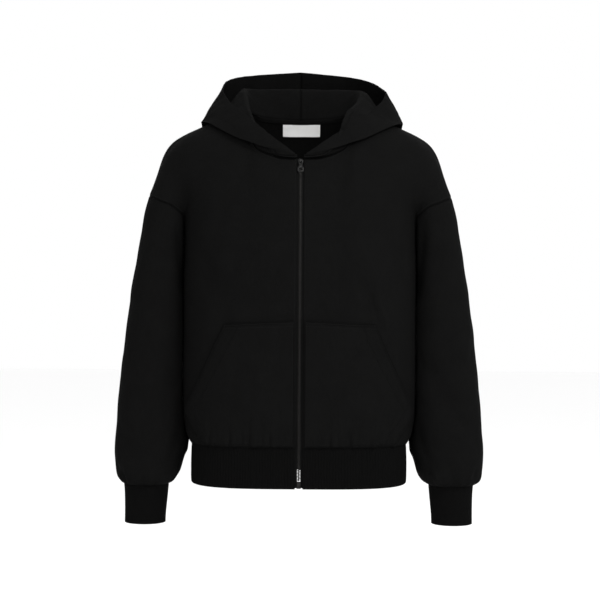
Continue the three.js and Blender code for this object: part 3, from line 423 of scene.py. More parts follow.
def add_relief(points, face, fade=1):
    """Moves points of the body in by its relief, less where the body is thin."""
    way = 1 if face == "front" else -1
    thick = np.clip(np.abs(points[..., 1] - MID_Y) / FOLD_FADE, 0, 1)
    relief = body_relief(points[..., 0], points[..., 2], face)
    points[..., 1] += way * fade * thick * sizes().fold_strength * relief


def side_at(y, z):
    """Half the width of the body or of the hem band, at a depth."""
    front = y < MID_Y
    hem_depth = np.where(front, HEM["front"], HEM["back"])
    hem = bulge(y - MID_Y, hem_depth, HEM["bottom"] + RIB_HEIGHT, HEM["power"])
    depth = np.where(front, BODY.at("front", z), BODY.at("back", z))
    body = bulge(y - MID_Y, depth, BODY.at("half", z), BODY.at("power", z))
    return np.where(z < HEM_SEAM_Z, hem, body)


def arm_point(angle, z):
    """Points of the arm's outside, whose inner side lies along the body."""
    inner, outer = ARM.at("inner", z), ARM.at("outer", z)
    half = (outer - inner) / 2
    x = inner + half + half * signed_power(np.cos(angle), 2 / ARM_POWER)
    y = ARM.at("mid", z) - ARM.at("depth", z) * signed_power(np.sin(angle), 2 / ARM_POWER)
    return stack(np.maximum(x, side_at(y, z) + SIDE_CLEARANCE), y, z)


def armhole_rows(angle, side):
    """Points of the armhole seam on one of its sides, each with the way in through the cloth."""
    z = ARMHOLE.at("z", degrees(angle))
    across = stack(np.abs(np.sin(angle / 2)), 0, -np.abs(np.cos(angle / 2)))
    at = arm_point(angle, z) + across * side * SEAM_GAP / 2
    inward = unit(stack(-np.maximum(np.cos(angle), 0), np.sin(angle), np.maximum(-np.cos(angle), 0)))
    return np.concatenate([at, inward], axis=-1)


def lengths_along(path):
    """Lengths from a path's start to each of its rows, whose first three numbers are a place."""
    steps = np.linalg.norm(np.diff(path[:, :3], axis=0), axis=1)
    return np.concatenate([[0], np.cumsum(steps)])


def read_rows(rows, places, at):
    """Reads rows of numbers, whose places are given, at other places between them."""
    return np.stack([np.interp(at, places, column) for column in rows.T], axis=1)


def along_path(path, shares):
    """Rows of a fine path at shares of its length."""
    lengths = lengths_along(path)
    return read_rows(path, lengths, np.asarray(shares) * lengths[-1])


def shares(count):
    return np.arange(count + 1) / count


def neck_rows(face):
    """The neck seam of the front or the back, from the middle out, with the way in."""
    corners = np.array(NECK[face], float)
    along = shares(FINE) * (len(corners) - 1)
    x, z = (np.interp(along, np.arange(len(corners)), corners[:, k]) for k in (0, 1))
    at = on_body(x, z, face)
    share = np.clip((z - NECK_FRONT_Z) / (NECK_SIDE[1] - NECK_FRONT_Z), 0, 1)
    inward = unit(stack(-at[:, 0], NECK_MIDDLE_Y - at[:, 1], 0))
    inward[np.abs(at[:, 0]) < ZIP_EDGE_X + 0.1, 0] = 0
    inward[:, 2] = -mix(0.15, 0.8, share)
    return along_path(np.concatenate([at, unit(inward)], axis=1), shares(NECK_COLUMNS[face]))


def shoulder_rows():
    """The shoulder seam from the neck out to the armhole, with the way in."""
    z = mix(NECK_SIDE[1], SHOULDER_END_Z, shares(FINE))
    at = stack(ARM.at("outer", z), MID_Y, z)
    inward = unit(stack(-2, 0, ARM.at("outer", z + 1) - ARM.at("outer", z - 1)))
    return along_path(np.concatenate([at, inward], axis=1), shares(SHOULDER_COLUMNS))


def with_no_way(points):
    return np.concatenate([points, np.full_like(points, np.nan)], axis=-1)


def quarter_grid(face, sign):
    """One quarter of the body as rows of points from the hem up, blended from its four edges."""
    out_y = MID_Y + (-SEAM_GAP / 2 if face == "front" else SEAM_GAP / 2)
    neck = neck_rows(face)
    neck[:, 2] -= SEAM_GAP / 2
    shoulder = shoulder_rows()[1:]
    shoulder[:, 1] = out_y
    neck[-1, 1] = out_y
    top = np.concatenate([neck, shoulder])
    last = len(top) - 1
    middle_x = NECK[face][0][0]
    turn = 1 if face == "front" else -1
    power = BODY.columns["power"][0]
    hem_x = BODY.columns["half"][0] * np.sin(shares(FINE) * math.pi / 2) ** (2 / power)
    hem = along_path(on_body(np.maximum(hem_x, middle_x), HEM_SEAM_Z, face), shares(last))
    v = 1 - (1 - shares(PANEL_ROWS) ** HEM_CROWDING) ** ROW_CROWDING
    middle = on_body(middle_x, mix(HEM_SEAM_Z, NECK[face][0][1], v), face)
    side_z = mix(HEM_SEAM_Z, UNDERARM_Z, shares(SIDE_ROWS)[:-1] ** SIDE_SPREAD)
    side = np.concatenate([stack(BODY.at("half", side_z), out_y, side_z),
                           np.tile((-1.0, 0, 0), (SIDE_ROWS, 1))], axis=1)
    armhole = armhole_rows(turn * mix(math.pi, 0, shares(ARMHOLE_ROWS)), -1)
    armhole[[0, -1], 1] = out_y
    side = np.concatenate([side, armhole])
    u, v = shares(last)[None, :], v[:, None]

    def blend(k):
        return ((1 - v) * hem[None, :, k] + v * top[None, :, k] + (1 - u) * middle[:, None, k]
                + u * side[:, None, k] - (1 - u) * (1 - v) * hem[0, k] - u * (1 - v) * hem[last, k]
                - (1 - u) * v * top[0, k] - u * v * top[last, k])
    z = blend(2)
    z[0] = HEM_SEAM_Z
    limit = np.where(z < UNDERARM_Z, BODY.at("half", z), ARM.at("outer", z))
    x = np.minimum(blend(0), EDGE_SHARE * limit)
    x[:, 0] = middle[:, 0]
    grid = with_no_way(on_body(x, z, face))
    grid[:, last] = side
    grid[PANEL_ROWS] = top
    grid[PANEL_ROWS, last] = side[PANEL_ROWS]
    grid[..., [0, 3]] *= sign
    return grid


def fine_steps(cells):
    """Where a surface is read along its rows or columns, with more places beside its edges."""
    places = [k / SMOOTH_STEPS for k in range(cells * SMOOTH_STEPS + 1)]
    places += [*EDGE_STEPS] + [cells - step for step in EDGE_STEPS]
    return np.array(sorted(places))


def refine(points, places, corner=None, closed=False):
    """Reads a smooth curve through the rows of an array. At a corner the curve turns sharply, by a
    weight for each column."""
    if closed:
        before, after = np.roll(points, 1, 0), np.roll(points, -1, 0)
    else:
        before = np.concatenate([2 * points[:1] - points[1:2], points[:-1]])
        after = np.concatenate([points[1:], 2 * points[-1:] - points[-2:-1]])
    back, ahead = points - before, after - points
    back_length = np.maximum(np.linalg.norm(back, axis=-1, keepdims=True), 1e-9)
    ahead_length = np.maximum(np.linalg.norm(ahead, axis=-1, keepdims=True), 1e-9)
    back, ahead = back / back_length, ahead / ahead_length
    tangent = (back * ahead_length + ahead * back_length) / (back_length + ahead_length)
    into, out = tangent.copy(), tangent.copy()
    if corner:
        row, weight = corner
        weight = weight[:, None]
        into[row] = mix(tangent[row], back[row], weight)
        out[row] = mix(tangent[row], ahead[row], weight)
    count = len(points)
    row = np.minimum(places.astype(int), count - 1 if closed else count - 2)
    following = (row + 1) % count
    t = (places - row)[:, None, None]
    length = ahead_length[row]
    return ((2 * t ** 3 - 3 * t ** 2 + 1) * points[row] + (t ** 3 - 2 * t ** 2 + t) * out[row] * length
            + (3 * t ** 2 - 2 * t ** 3) * points[following] + (t ** 3 - t ** 2) * into[following] * length)


def refine_ways(ways, places):
    """Reads the ways in of one edge between its points, or None where it has none."""
    if np.isnan(ways).any():
        return None
    return unit(read_rows(ways, np.arange(len(ways)), places))


def edge_distances(grid, closed=False):
    """Distance of each point from the first and last row and column, along the grid's lines."""
    down = np.linalg.norm(np.diff(grid, axis=0), axis=-1)
    across = np.linalg.norm(np.diff(grid, axis=1), axis=-1)
    zero_row, zero_column = np.zeros((1, grid.shape[1])), np.zeros((grid.shape[0], 1))
    low = np.concatenate([zero_row, np.cumsum(down, axis=0)])
    left = np.concatenate([zero_column, np.cumsum(across, axis=1)], axis=1)
    found = {"low": low, "top": low[-1:] - low, "left": left, "right": left[:, -1:] - left}
    if closed:
        far = np.full_like(left, 1e3)
        found["left"], found["right"] = far, far
    return found


def normals(grid, closed=False):
    """Unit vectors across the surface: columns cross rows."""
    if closed:
        across = np.roll(grid, -1, 1) - np.roll(grid, 1, 1)
    else:
        across = np.gradient(grid, axis=1)
    return unit(np.cross(across, np.gradient(grid, axis=0)))


def inside_of(grid, thickness, outward, ways, distances, closed=False):
    """The cloth's inside: in from its outside, along the normal or, beside an edge, along its way."""
    inward = -outward * normals(grid, closed)
    for edge, way in ways.items():
        if way is None:
            continue
        near = beside(distances[edge], MITRE_REACH)[..., None]
        spread = way[None, :, :] if edge in ("low", "top") else way[:, None, :]
        inward = mix(inward, np.broadcast_to(spread, inward.shape), near)
    return grid + unit(inward) * thickness


def dip_edges(grid, outward, distances, edges, closed=False, depth=SEAM_DIP):
    """Turns the cloth in along its sewn edges."""
    near = sum(beside(distances[edge], SEAM_DIP_WIDTH) for edge in edges)
    return grid - outward * normals(grid, closed) * (depth * np.minimum(near, 1))[..., None]


def smooth(mesh, sharp):
    """Shades a mesh smooth, but for edges sharper than an angle in degrees."""
    mesh.polygons.foreach_set("use_smooth", np.ones(len(mesh.polygons), bool))
    if sharp:
        mesh.set_sharp_from_angle(angle=math.radians(sharp))


def new_mesh(name, points, faces, sharp=None):
    """A smooth mesh in metres from points in millimetres."""
    mesh = bpy.data.meshes.new(name)
    mesh.from_pydata((points * MM).tolist(), [], faces)
    smooth(mesh, sharp)
    return mesh


def linked(name, data):
    """A new object in the scene."""
    made = bpy.data.objects.new(name, data)
    bpy.context.scene.collection.objects.link(made)
    return made


class Wall:
    """A cloth's outer and inner points, with the faces that close it.

    Sewn edges and the edge of an opening get their creases and stitch grooves in the material, with painted
    shade that darkens the colour there, on the inside too where both sides show."""

    def __init__(self, outside, inside, closed=False, rounded=None, sewn=(), opening=None, both=False):
        self.outside = outside
        self.sewn = sewn
        self.opening = opening
        self.both = both
        self.closed = closed
        rows, columns = outside.shape[:2]
        self.points = [outside.reshape(-1, 3), inside.reshape(-1, 3)]
        self.count = 2 * rows * columns
        self.faces = []
        index = np.arange(rows * columns).reshape(rows, columns)
        sheets = (index, index + rows * columns)
        self.sheet(index, False)
        self.sheet(sheets[1], True)
        rounded = rounded or {}
        lines = {"low": [sheet[0] for sheet in sheets], "top": [sheet[-1] for sheet in sheets]}
        steps = {"low": outside[0] - outside[1], "top": outside[-1] - outside[-2]}
        if not closed:
            lines["left"] = [sheet[:, 0] for sheet in sheets]
            lines["right"] = [sheet[:, -1] for sheet in sheets]
            steps["left"] = outside[:, 0] - outside[:, 1]
            steps["right"] = outside[:, -1] - outside[:, -2]
        for edge, (outer, inner) in lines.items():
            self.rim(edge, outer, inner, steps[edge], rounded.get(edge, 0))

    def quads(self, a, b, c, d, turned):
        faces = np.stack([x.ravel() for x in ((a, d, c, b) if turned else (a, b, c, d))], axis=1)
        self.faces.append(faces)

    def sheet(self, index, turned):
        if self.closed:
            index = np.concatenate([index, index[:, :1]], axis=1)
        self.quads(index[:-1, :-1], index[:-1, 1:], index[1:, 1:], index[1:, :-1], turned)

    def rim(self, edge, outer, inner, step, stand):
        """Closes one edge, with a round lip that stands out where it isn't sewn to another piece."""
        lines = [outer]
        if stand:
            points = np.concatenate(self.points)
            middle = (points[outer] + points[inner]) / 2
            half = (points[outer] - points[inner]) / 2
            for angle in (0.25, 0.5, 0.75):
                turn = math.pi * angle
                lip = middle + math.cos(turn) * half + math.sin(turn) * stand * unit(step)
                self.points.append(lip)
                lines.append(np.arange(self.count, self.count + len(lip)))
                self.count += len(lip)
        lines.append(inner)
        band = np.stack(lines)
        if self.closed:
            band = np.concatenate([band, band[:, :1]], axis=1)
        turned = edge in ("low", "right")
        self.quads(band[:-1, :-1], band[:-1, 1:], band[1:, 1:], band[1:, :-1], not turned)

    def mesh(self, name, turned, sharp=50):
        """A mesh in metres whose UV map holds metres of cloth."""
        faces = np.concatenate(self.faces)
        if turned:
            faces = faces[:, ::-1]
        mesh = new_mesh(name, np.concatenate(self.points), faces.tolist(), sharp)
        self.lay_maps(mesh, self.count)
        return mesh

    def lay_maps(self, mesh, count):
        """One map of places on the cloth, and one of distances from its seams and from its opening, where the
        fleece cuts its grooves and darkens its colour as painted shade.
        """
        found = edge_distances(self.outside, self.closed)
        across = edge_distances(self.outside)["left"] if self.closed else found["left"]
        width = np.broadcast_to(np.median(across, axis=0)[None, :], found["low"].shape)
        far = np.full(found["low"].shape, FAR)
        seam = np.minimum.reduce([far] + [found[edge] for edge in self.sewn])
        opening = found[self.opening] if self.opening else far
        corners = np.zeros(len(mesh.loops), np.int64)
        mesh.loops.foreach_get("vertex_index", corners)
        for name, pair, hidden in (("cloth", (width, found["low"]), False), ("seams", (seam, opening), True)):
            flat = np.stack(pair, axis=-1).reshape(-1, 2) * MM
            places = np.full((count, 2), FAR * MM)
            places[:len(flat)] = flat
            if not hidden or self.both:
                places[len(flat):2 * len(flat)] = flat
            layer = mesh.uv_layers.new(name=name)
            layer.data.foreach_set("uv", places[corners].astype(np.float32).ravel())


def add_object(name, mesh, material, nodes=(), body=GARMENT):
    """Links a piece, gives it its finish and puts it on its body."""
    piece = linked(name, mesh)
    mesh.materials.clear()
    mesh.materials.append(material)
    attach(piece, body)
    if nodes:
        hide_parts(*nodes)
    return piece


def add_cloth(name, wall, turned, material):
    """Adds a piece of fleece in place of its solid."""
    title = name + "_cloth"
    return add_object(title, wall.mesh(title, turned), material, [name])


# The surfaces that stitches are laid on, kept by name as they are made
SURFACES = {}


def make_panel(name, grid, face, outward, corners, sides, sewn):
    """A panel of the body through its coarse points, with its folds and turned-in seams."""
    rows, columns = fine_steps(grid.shape[0] - 1), fine_steps(grid.shape[1] - 1)
    weight = np.zeros(grid.shape[0])
    weight[-len(CORNER_WEIGHTS):] = CORNER_WEIGHTS
    fine = split_refine(np.swapaxes(grid[..., :3], 0, 1), columns, corners, weight)
    fine = refine(np.swapaxes(fine, 0, 1), rows)
    distances = edge_distances(fine)
    add_relief(fine, face, panel_fade(fine, distances, sides))
    fine = softened_grid(fine, distances)
    hem_way = (0, 1.0 if face == "front" else -1.0, 0)
    ways = {"top": refine_ways(grid[-1, :, 3:], columns), "low": np.tile(hem_way, (len(columns), 1))}
    for edge, column in (("left", 0), ("right", -1)):
        ways[edge] = refine_ways(grid[:, column, 3:], rows)
    outside = dip_edges(fine, outward, distances, EDGES)
    inside = inside_of(fine, CLOTH, outward, ways, distances)
    SURFACES[name] = (outside, outward)
    return Wall(outside, inside, sewn=sewn)


def panel_fade(points, distances, sides):
    """Where a panel's folds end: beside its neck and hem seams, and beside its armholes."""
    fade = 1 - beside(distances["top"], SEAM_FADE)
    fade = fade * (1 - beside(distances["low"], HEM_FADE))
    for edge in sides:
        upper = smooth_step(*UNDERARM_FADE, points[..., 2])
        fade = fade * (1 - upper * beside(distances[edge], SEAM_FADE))
    return fade


def softened_grid(points, distances):
    """Evens out the upper part of a panel, away from its edges."""
    near = np.minimum.reduce([distances[edge] for edge in EDGES])
    soft = (1 - beside(near, SOFT_REACH)) * smooth_step(*SOFT_FROM, points[..., 2])
    return points + (eased(points, SOFT_TURNS) - points) * soft[..., None]


def split_refine(points, places, corners, weight):
    """Refines with sharp corners at several rows, one stretch after another."""
    found = []
    starts = [0, *corners]
    ends = [*corners, len(points) - 1]
    whole = refine(points, places)
    for start, end in zip(starts, ends):
        inside = (places >= start) & ((places < end) | (end == len(points) - 1))
        part = refine(points[start:end + 1], places[inside] - start)
        found.append(mix(whole[inside], part, weight[None, :, None]))
    return np.concatenate(found)


def make_fronts(material):
    for name, sign in (("front_left", 1), ("front_right", -1)):
        grid = quarter_grid("front", sign)
        wall = make_panel(name, grid, "front", sign, [NECK_COLUMNS["front"]], ("right",),
                          ("low", "top", "right"))
        piece = add_cloth(name, wall, sign < 0, material)


def make_back(material):
    left, right = quarter_grid("back", 1), quarter_grid("back", -1)
    grid = np.concatenate([right[:, :0:-1], left], axis=1)
    middle = left.shape[1] - 1
    corners = [middle - NECK_COLUMNS["back"], middle + NECK_COLUMNS["back"]]
    wall = make_panel("back", grid, "back", -1, corners, ("left", "right"), EDGES)
    piece = add_cloth("back", wall, True, material)


def sleeve_relief(points, angle, sign):
    """Moves a sleeve's points in towards the middle of the arm by its folds and gathers."""
    z = points[..., 2]
    turn = np.degrees(angle)[None, :]
    scale = np.radians(1) * ARM_RADIUS
    depth = 0
    for side, a0, z0, a1, z1, width, deep in SLEEVE_FOLDS:
        if side == sign:
            depth = depth + trough(turn * scale, z, a0 * scale, z0, a1 * scale, z1, width, deep)
    depth = depth + swell(np.sin(angle)[None, :] * ARM_RADIUS, z, 3.0 + sign)
    pleats = sum(size * np.sin(number * angle + by_side * sign + start)
                 for size, number, by_side, start in CUFF_PLEATS)
    near = np.maximum(z - CUFF_SEAM_Z, 0) / GATHER_REACH
    depth = depth + pleats[None, :] * near * np.exp(1 - near)
    middle = stack((ARM.at("outer", z) + ARM.at("inner", z)) / 2, ARM.at("mid", z), z)
    middle[..., 0] *= sign
    fade = 1 - beside(edge_distances(points, True)["low"], SEAM_FADE)
    return points + unit(middle - points) * (depth * fade)[..., None]


def sleeve_grid(edge, angle, sign):
    """A sleeve's coarse points, from the armhole down to the cuff."""
    v = 1 - (1 - shares(SLEEVE_ROWS)) ** ROW_CROWDING
    seam_z = ARMHOLE.at("z", degrees(angle))
    grid = arm_point(angle[None, :], mix(seam_z[None, :], CUFF_SEAM_Z, v[:, None]))
    grid[0] = edge[:, :3]
    grid[..., 0] *= sign
    return grid


def make_sleeves(material):
    for name, sign in (("sleeve_left", 1), ("sleeve_right", -1)):
        angle = 2 * math.pi * shares(SLEEVE_COLUMNS)[:-1]
        edge = armhole_rows(angle, 1)
        columns = np.arange(SLEEVE_COLUMNS * SMOOTH_STEPS) / SMOOTH_STEPS
        fine = refine(sleeve_grid(edge, angle, sign), fine_steps(SLEEVE_ROWS))
        fine = np.swapaxes(refine(np.swapaxes(fine, 0, 1), columns, closed=True), 0, 1)
        fine = sleeve_relief(fine, columns * 2 * math.pi / SLEEVE_COLUMNS, sign)
        distances = edge_distances(fine, True)
        ways = edge[:, 3:] * (sign, 1, 1)
        low = refine_ways(np.concatenate([ways, ways[:1]]), columns)
        top = -sign * normals(fine, True)[-1]
        top[:, 2] = 0
        outside = dip_edges(fine, sign, distances, ("low", "top"), closed=True)
        inside = inside_of(fine, CLOTH, sign, {"low": low, "top": unit(top)}, distances, True)
        SURFACES[name] = (outside, sign)
        wall = Wall(outside, inside, closed=True, sewn=("low", "top"))
        piece = add_cloth(name, wall, sign < 0, material)


def stand_out(x, y, z):
    """How far points stand out of the body's section at their height: 0 is on the outside."""
    power = BODY.at("power", z)
    depth = np.where(y < MID_Y, BODY.at("front", z), BODY.at("back", z))
    torso = (np.abs(x / BODY.at("half", z)) ** power + np.abs((y - MID_Y) / depth) ** power) ** (1 / power)
    middle = (ARM.at("inner", z) + ARM.at("outer", z)) / 2
    half = ARM.at("outer", z) - middle
    arm = (np.abs((np.abs(x) - middle) / half) ** ARM_POWER
           + np.abs((y - MID_Y) / np.maximum(ARM.at("depth", z), 1)) ** ARM_POWER) ** (1 / ARM_POWER)
    return (torso ** -UNION_POWER + arm ** -UNION_POWER) ** (-1 / UNION_POWER) - 1


def clear_of_body(at):
    """Moves points of the hood off the body's outside, where they would touch it."""
    for turn in range(CLEAR_TURNS):
        x, y, z = at[..., 0], at[..., 1], at[..., 2]
        here = stand_out(x, y, z)
        slope = stack(stand_out(x + 1, y, z) - here, stand_out(x, y + 1, z) - here,
                      stand_out(x, y, z + 1) - here)
        steep = np.linalg.norm(slope, axis=-1)
        share = np.clip((NECK_SIDE[1] + HOOD_FADE - z) / HOOD_FADE, 0, 1)
        missing = share * np.clip(HOOD_CLEARANCE - here / steep, 0, HOOD_PUSH)
        at = at + slope * (missing / steep)[..., None]
    return at


def smooth_path(points, steps):
    """A smooth path through a few points, with a number of steps on each stretch."""
    path = [points[0]]
    last = len(points) - 1
    for i, count in enumerate(steps):
        for k in range(1, count + 1):
            t = k / count
            weights = ((-t + 2 * t ** 2 - t ** 3) / 2, (2 - 5 * t ** 2 + 3 * t ** 3) / 2,
                       (t + 4 * t ** 2 - 3 * t ** 3) / 2, (t ** 3 - t ** 2) / 2)
            near = [points[min(max(i - 1 + j, 0), last)] for j in range(4)]
            path.append(sum(weight * point for weight, point in zip(weights, near)))
    return np.array(path)


def hood_section(rows, along, seam):
    """One section of the hood, from the neck seam over the ridge and down the valley to the rim."""
    ridge, valley, rim = (np.array([float(rows.at(part + axis, along)) for axis in "xyz"]) for part in "rve")
    out = unit(np.array((valley[0], valley[1] - NECK_MIDDLE_Y, 0)))
    belly = mix(valley, rim, 0.5) + out * float(rows.at("belly", along))
    return smooth_path([seam, ridge, mix(ridge, valley, 0.5), valley, belly, rim], HOOD_STEPS)


def eased(moves, turns):
    """Evens out what is given over a grid, so that the cloth stays smooth."""
    for turn in range(turns):
        wide = np.pad(moves, ((1, 1), (1, 1), (0, 0)), mode="edge")
        moves = (wide[:-2, 1:-1] + wide[2:, 1:-1] + wide[1:-1, :-2] + wide[1:-1, 2:]) / 4
    return moves


def hood_grid(rows, seam):
    """Coarse points of half the hood on the wearer's left, clear of the body."""
    lengths = lengths_along(seam)
    sections = [hood_section(rows, share, place[:3]) for share, place in zip(lengths / lengths[-1], seam)]
    grid = np.stack(sections, axis=1)
    for turn in range(HOOD_TURNS):
        moves = eased(clear_of_body(grid) - grid, HOOD_EASING)
        grid[HOOD_STEPS[0]:] += moves[HOOD_STEPS[0]:]
    grid[:, -1, 0] = SEAM_GAP / 2
    return grid


def make_hood(material):
    for name, rows, sign in (("hood_left", HOOD_LEFT, 1), ("hood_right", HOOD_RIGHT, -1)):
        seam = np.concatenate([neck_rows("front"), neck_rows("back")[-2::-1]])
        seam[:, 2] += NECK_RISE
        grid = hood_grid(rows, seam) * (sign, 1, 1)
        columns, down = fine_steps(len(seam) - 1), fine_steps(len(grid) - 1)
        weight = np.zeros(len(grid))
        weight[:len(CORNER_WEIGHTS)] = CORNER_WEIGHTS[::-1]
        fine = split_refine(np.swapaxes(grid, 0, 1), columns, [NECK_COLUMNS["front"]], weight)
        fine = hood_relief(refine(np.swapaxes(fine, 0, 1), down), sign)
        distances = edge_distances(fine)
        middle = unit(-sign * normals(fine)[:, -1] * (0, 1, 1))
        ways = {"low": refine_ways(seam[:, 3:] * (sign, 1, 1), columns), "right": middle}
        outside = dip_edges(fine, sign, distances, ("low", "right"))
        inside = inside_of(fine, hood_thickness(fine), sign, ways, distances)
        SURFACES[name] = (outside, sign)
        wall = Wall(outside, inside, rounded={"top": 1.4, "left": 0.8}, sewn=("low", "right"), both=True)
        piece = add_cloth(name, wall, sign < 0, material)


def hood_bend(rows):
    """1 in the bend of the hood's fold, and 0 away from it, for each row of a fine grid."""
    return np.exp(-(((np.arange(rows) - FOLD_ROW) / FOLD_ROWS) ** 4))[:, None]


def hood_thickness(grid):
    """The hood's two layers are thinner in the bend of the fold, so that they don't cross."""
    opposite = np.clip(2 * FOLD_ROW - np.arange(len(grid)), 0, len(grid) - 1)
    gap = np.linalg.norm(grid - grid[opposite], axis=-1)
    thin = np.clip(FOLD_SHARE * gap, FOLD_THIN, HOOD_CLOTH)
    return mix(HOOD_CLOTH, thin, hood_bend(len(grid)))[..., None]


def hood_relief(grid, sign):
    """Small soft dents of the hood, less beside its sewn edges and in the bend."""
    distances = edge_distances(grid)
    fade = (1 - beside(distances["low"], HOOD_SEAM_FADE)) * (1 - beside(distances["right"], HOOD_SEAM_FADE))
    depth = 1.1 * swell(1.3 * distances["left"] + 20 * sign, 1.6 * distances["low"], 5.0 + sign)
    fade = fade * (1 - hood_bend(len(grid)))
    return grid - sign * normals(grid) * (fade * depth)[..., None]


def crowded(count, more):
    """Even shares, with a few more beside the ends."""
    return np.sort(np.concatenate([shares(count), more]))


def make_pockets(material):
    for name, sign in (("pocket_left", 1), ("pocket_right", -1)):
        down = crowded(96, (0.002, 0.006, 0.994, 0.998))
        across = crowded(72, (0.003, 0.008, 0.992, 0.997))
        z = mix(POCKET.key[0], POCKET.key[-1], down)[:, None]
        to = np.interp(z, POCKET.key, POCKET.columns["to"])
        x = mix(POCKET_FROM, to, across[None, :])
        rise = POCKET_TOP_SLOPE * (to - x) * smooth_step(0.75, 1, down)[:, None]
        grid = on_body(x * sign, z + rise, "front")
        add_relief(grid, "front")
        distances = edge_distances(grid)
        lift = POCKET_LIFT + pocket_puff(distances, x)
        out = sign * normals(grid)
        inside = grid + out * lift[..., None]
        outside = inside + out * POCKET_CLOTH
        outside = dip_edges(outside, sign, distances, ("low", "top", "right"), depth=POCKET_DIP)
        SURFACES[name] = (outside, sign)
        wall = Wall(outside, inside, rounded={"right": 0.8, "top": 0.6}, sewn=EDGES, opening="right")
        piece = add_cloth(name, wall, sign < 0, material)


def pocket_puff(distances, x):
    """A pocket stands off the front a little, most along its opening."""
    middle = 1 - beside(np.minimum(distances["top"], distances["low"]), PUFF_FADE)
    opening = beside(distances["right"], PUFF_REACH)
    return middle * smooth_step(*PUFF_FROM, x) * (PUFF + OPENING_PUFF * opening)


def rib_height(place):
    """The round top of each rib, from the place along the band in pitches."""
    return RIB_HEIGHT * (0.5 + 0.5 * np.cos(2 * math.pi * place)) ** 0.7


def hem_line(z, columns):
    """Places round the hem band, evenly spaced from one zip edge round the back to the other."""
    half = mix(HEM["bottom"], HEM["top"], (z - HEM_BOTTOM_Z) / (HEM_SEAM_Z - HEM_BOTTOM_Z))
    angle = mix(-math.pi / 2, 1.5 * math.pi, shares(8 * FINE))
    depth = np.where(np.sin(angle) > 0, HEM["back"], HEM["front"])
    turn = 2 / HEM["power"]
    x = half * signed_power(np.cos(angle), turn)
    line = stack(x, MID_Y + depth * signed_power(np.sin(angle), turn), z)
    line = line[(np.abs(line[:, 0]) >= ZIP_EDGE_X) | (line[:, 1] > MID_Y)]
    return along_path(line, shares(columns - 1))


def cuff_line(z, columns):
    inner, outer = CUFF.at("inner", z), CUFF.at("outer", z)
    angle = 2 * math.pi * np.arange(columns) / columns
    x = (inner + outer) / 2 + (outer - inner) / 2 * np.cos(angle)
    return stack(x, CUFF.at("mid", z) - CUFF.at("depth", z) * np.sin(angle), z)


def rib_wave(place, up, closed):
    """Slow waves of a band's ribs, between its edges and away from the zip."""
    wave = RIB_WAVE * np.sin(math.pi * up)[:, None] * (1 + 0.8 * np.sin(2 * math.pi * place / 13)[None, :])
    if closed:
        return wave
    return wave * smooth_step(0, 8, np.minimum(place, place[-1] - place))[None, :]


def rib_band(name, line_at, low, high, ribs, closed, sign, material):
    """A ribbed tube or band whose ribs stand out from a plain inside."""
    columns = ribs * RIB_POINTS + (0 if closed else 1)
    heights = mix(low, high, crowded(14, (0.01, 0.025, 0.975, 0.99)))
    rows = np.stack([line_at(z, columns) for z in heights]) * (sign, 1, 1)
    out = sign * normals(rows, closed)
    out[..., 2] = 0
    out = unit(out)
    if not closed:
        out[:, [0, -1]] = (0, -1, 0)
    up = (heights - low) / (high - low)
    place = np.arange(columns) / RIB_POINTS
    lean = RIB_LEAN * np.sin(2 * math.pi * place / 31)[None, :] * np.sin(math.pi * up)[:, None]
    ends = np.minimum(1, 0.35 + 6 * np.minimum(up, 1 - up))[:, None]
    ribs_out = rib_height(place[None, :] + lean) * ends
    wave = rib_wave(place, up, closed)
    inside = rows - out * (RIB_CLOTH - RIB_INSIDE_WAVE * wave)[..., None]
    outside = rows + out * (ribs_out + wave)[..., None]
    wall = Wall(outside, inside, closed, rounded={"low": 1.0})
    mesh = wall.mesh(name + "_knit", sign < 0, sharp=70)
    return add_object(name + "_knit", mesh, material, [name])


def make_ribs(material):
    top = HEM_SEAM_Z + RIB_TUCK
    piece = rib_band("hem_rib", hem_line, HEM_BOTTOM_Z, top, sizes().hem_ribs, False, 1, material)
    top = CUFF_SEAM_Z + RIB_TUCK
    for name, sign in (("cuff_left", 1), ("cuff_right", -1)):
        piece = rib_band(name, cuff_line, CUFF_BOTTOM_Z, top, sizes().cuff_ribs, True, sign, material)


# Neck tape, label and zip
PATCH_GAP = 1.2
PATCH_BEHIND = CLOTH + PATCH_GAP
TAPE_HALF = 82
TAPE_HEIGHT = 8
TAPE_RISE = 1.6
TAPE_CLOTH = 1
LABEL = {"from": -34, "to": 37, "top": -10, "height": 20, "cloth": 0.6}
TAPE_INNER_X = 2.95
TAPE_OUTER_X = 15
TAPE_CORD = 0.7
TAPE_WAVE = 0.12
TAPE_ENDS = (HEM_BOTTOM_Z + 1, NECK_FRONT_Z - 1.5)
ZIP_TAPE_CLOTH = 0.8
ZIP_MIDDLE = CLOTH + 0.6 + ZIP_TAPE_CLOTH / 2
CHAIN = (-102.5, -661.4)
CHAIN_THICKNESS = 2.4
BOX = {"width": 7.4, "height": 12.3, "thickness": 4.4, "round": 0.7}
SLIDER_ROUND = 0.28
PULL_ROUND = 0.3


def back_patch(x, z, behind):
    """Points inside the back neck, at distances in from the outside of the back."""
    grid = on_body(x, z, "back")
    return grid + normals(grid) * behind


def make_neck_tape(material):
    x = mix(-TAPE_HALF, TAPE_HALF, shares(96))[None, :]
    down = np.array((1, 0.94, 0.8, 0.6, 0.4, 0.2, 0.06, 0))[:, None]
    z = BACK_NECK.at("z", np.abs(x)) + TAPE_RISE - down * TAPE_HEIGHT
    crown = (4 * down * (1 - down)) ** 0.5
    outside = back_patch(x, z, PATCH_BEHIND)
    inside = back_patch(x, z, (PATCH_BEHIND + TAPE_CLOTH * (0.35 + 0.65 * crown))[..., None])
    mesh = Wall(outside, inside).mesh("neck_tape_twill", True)
    piece = add_object("neck_tape_twill", mesh, material, ["neck_tape"])


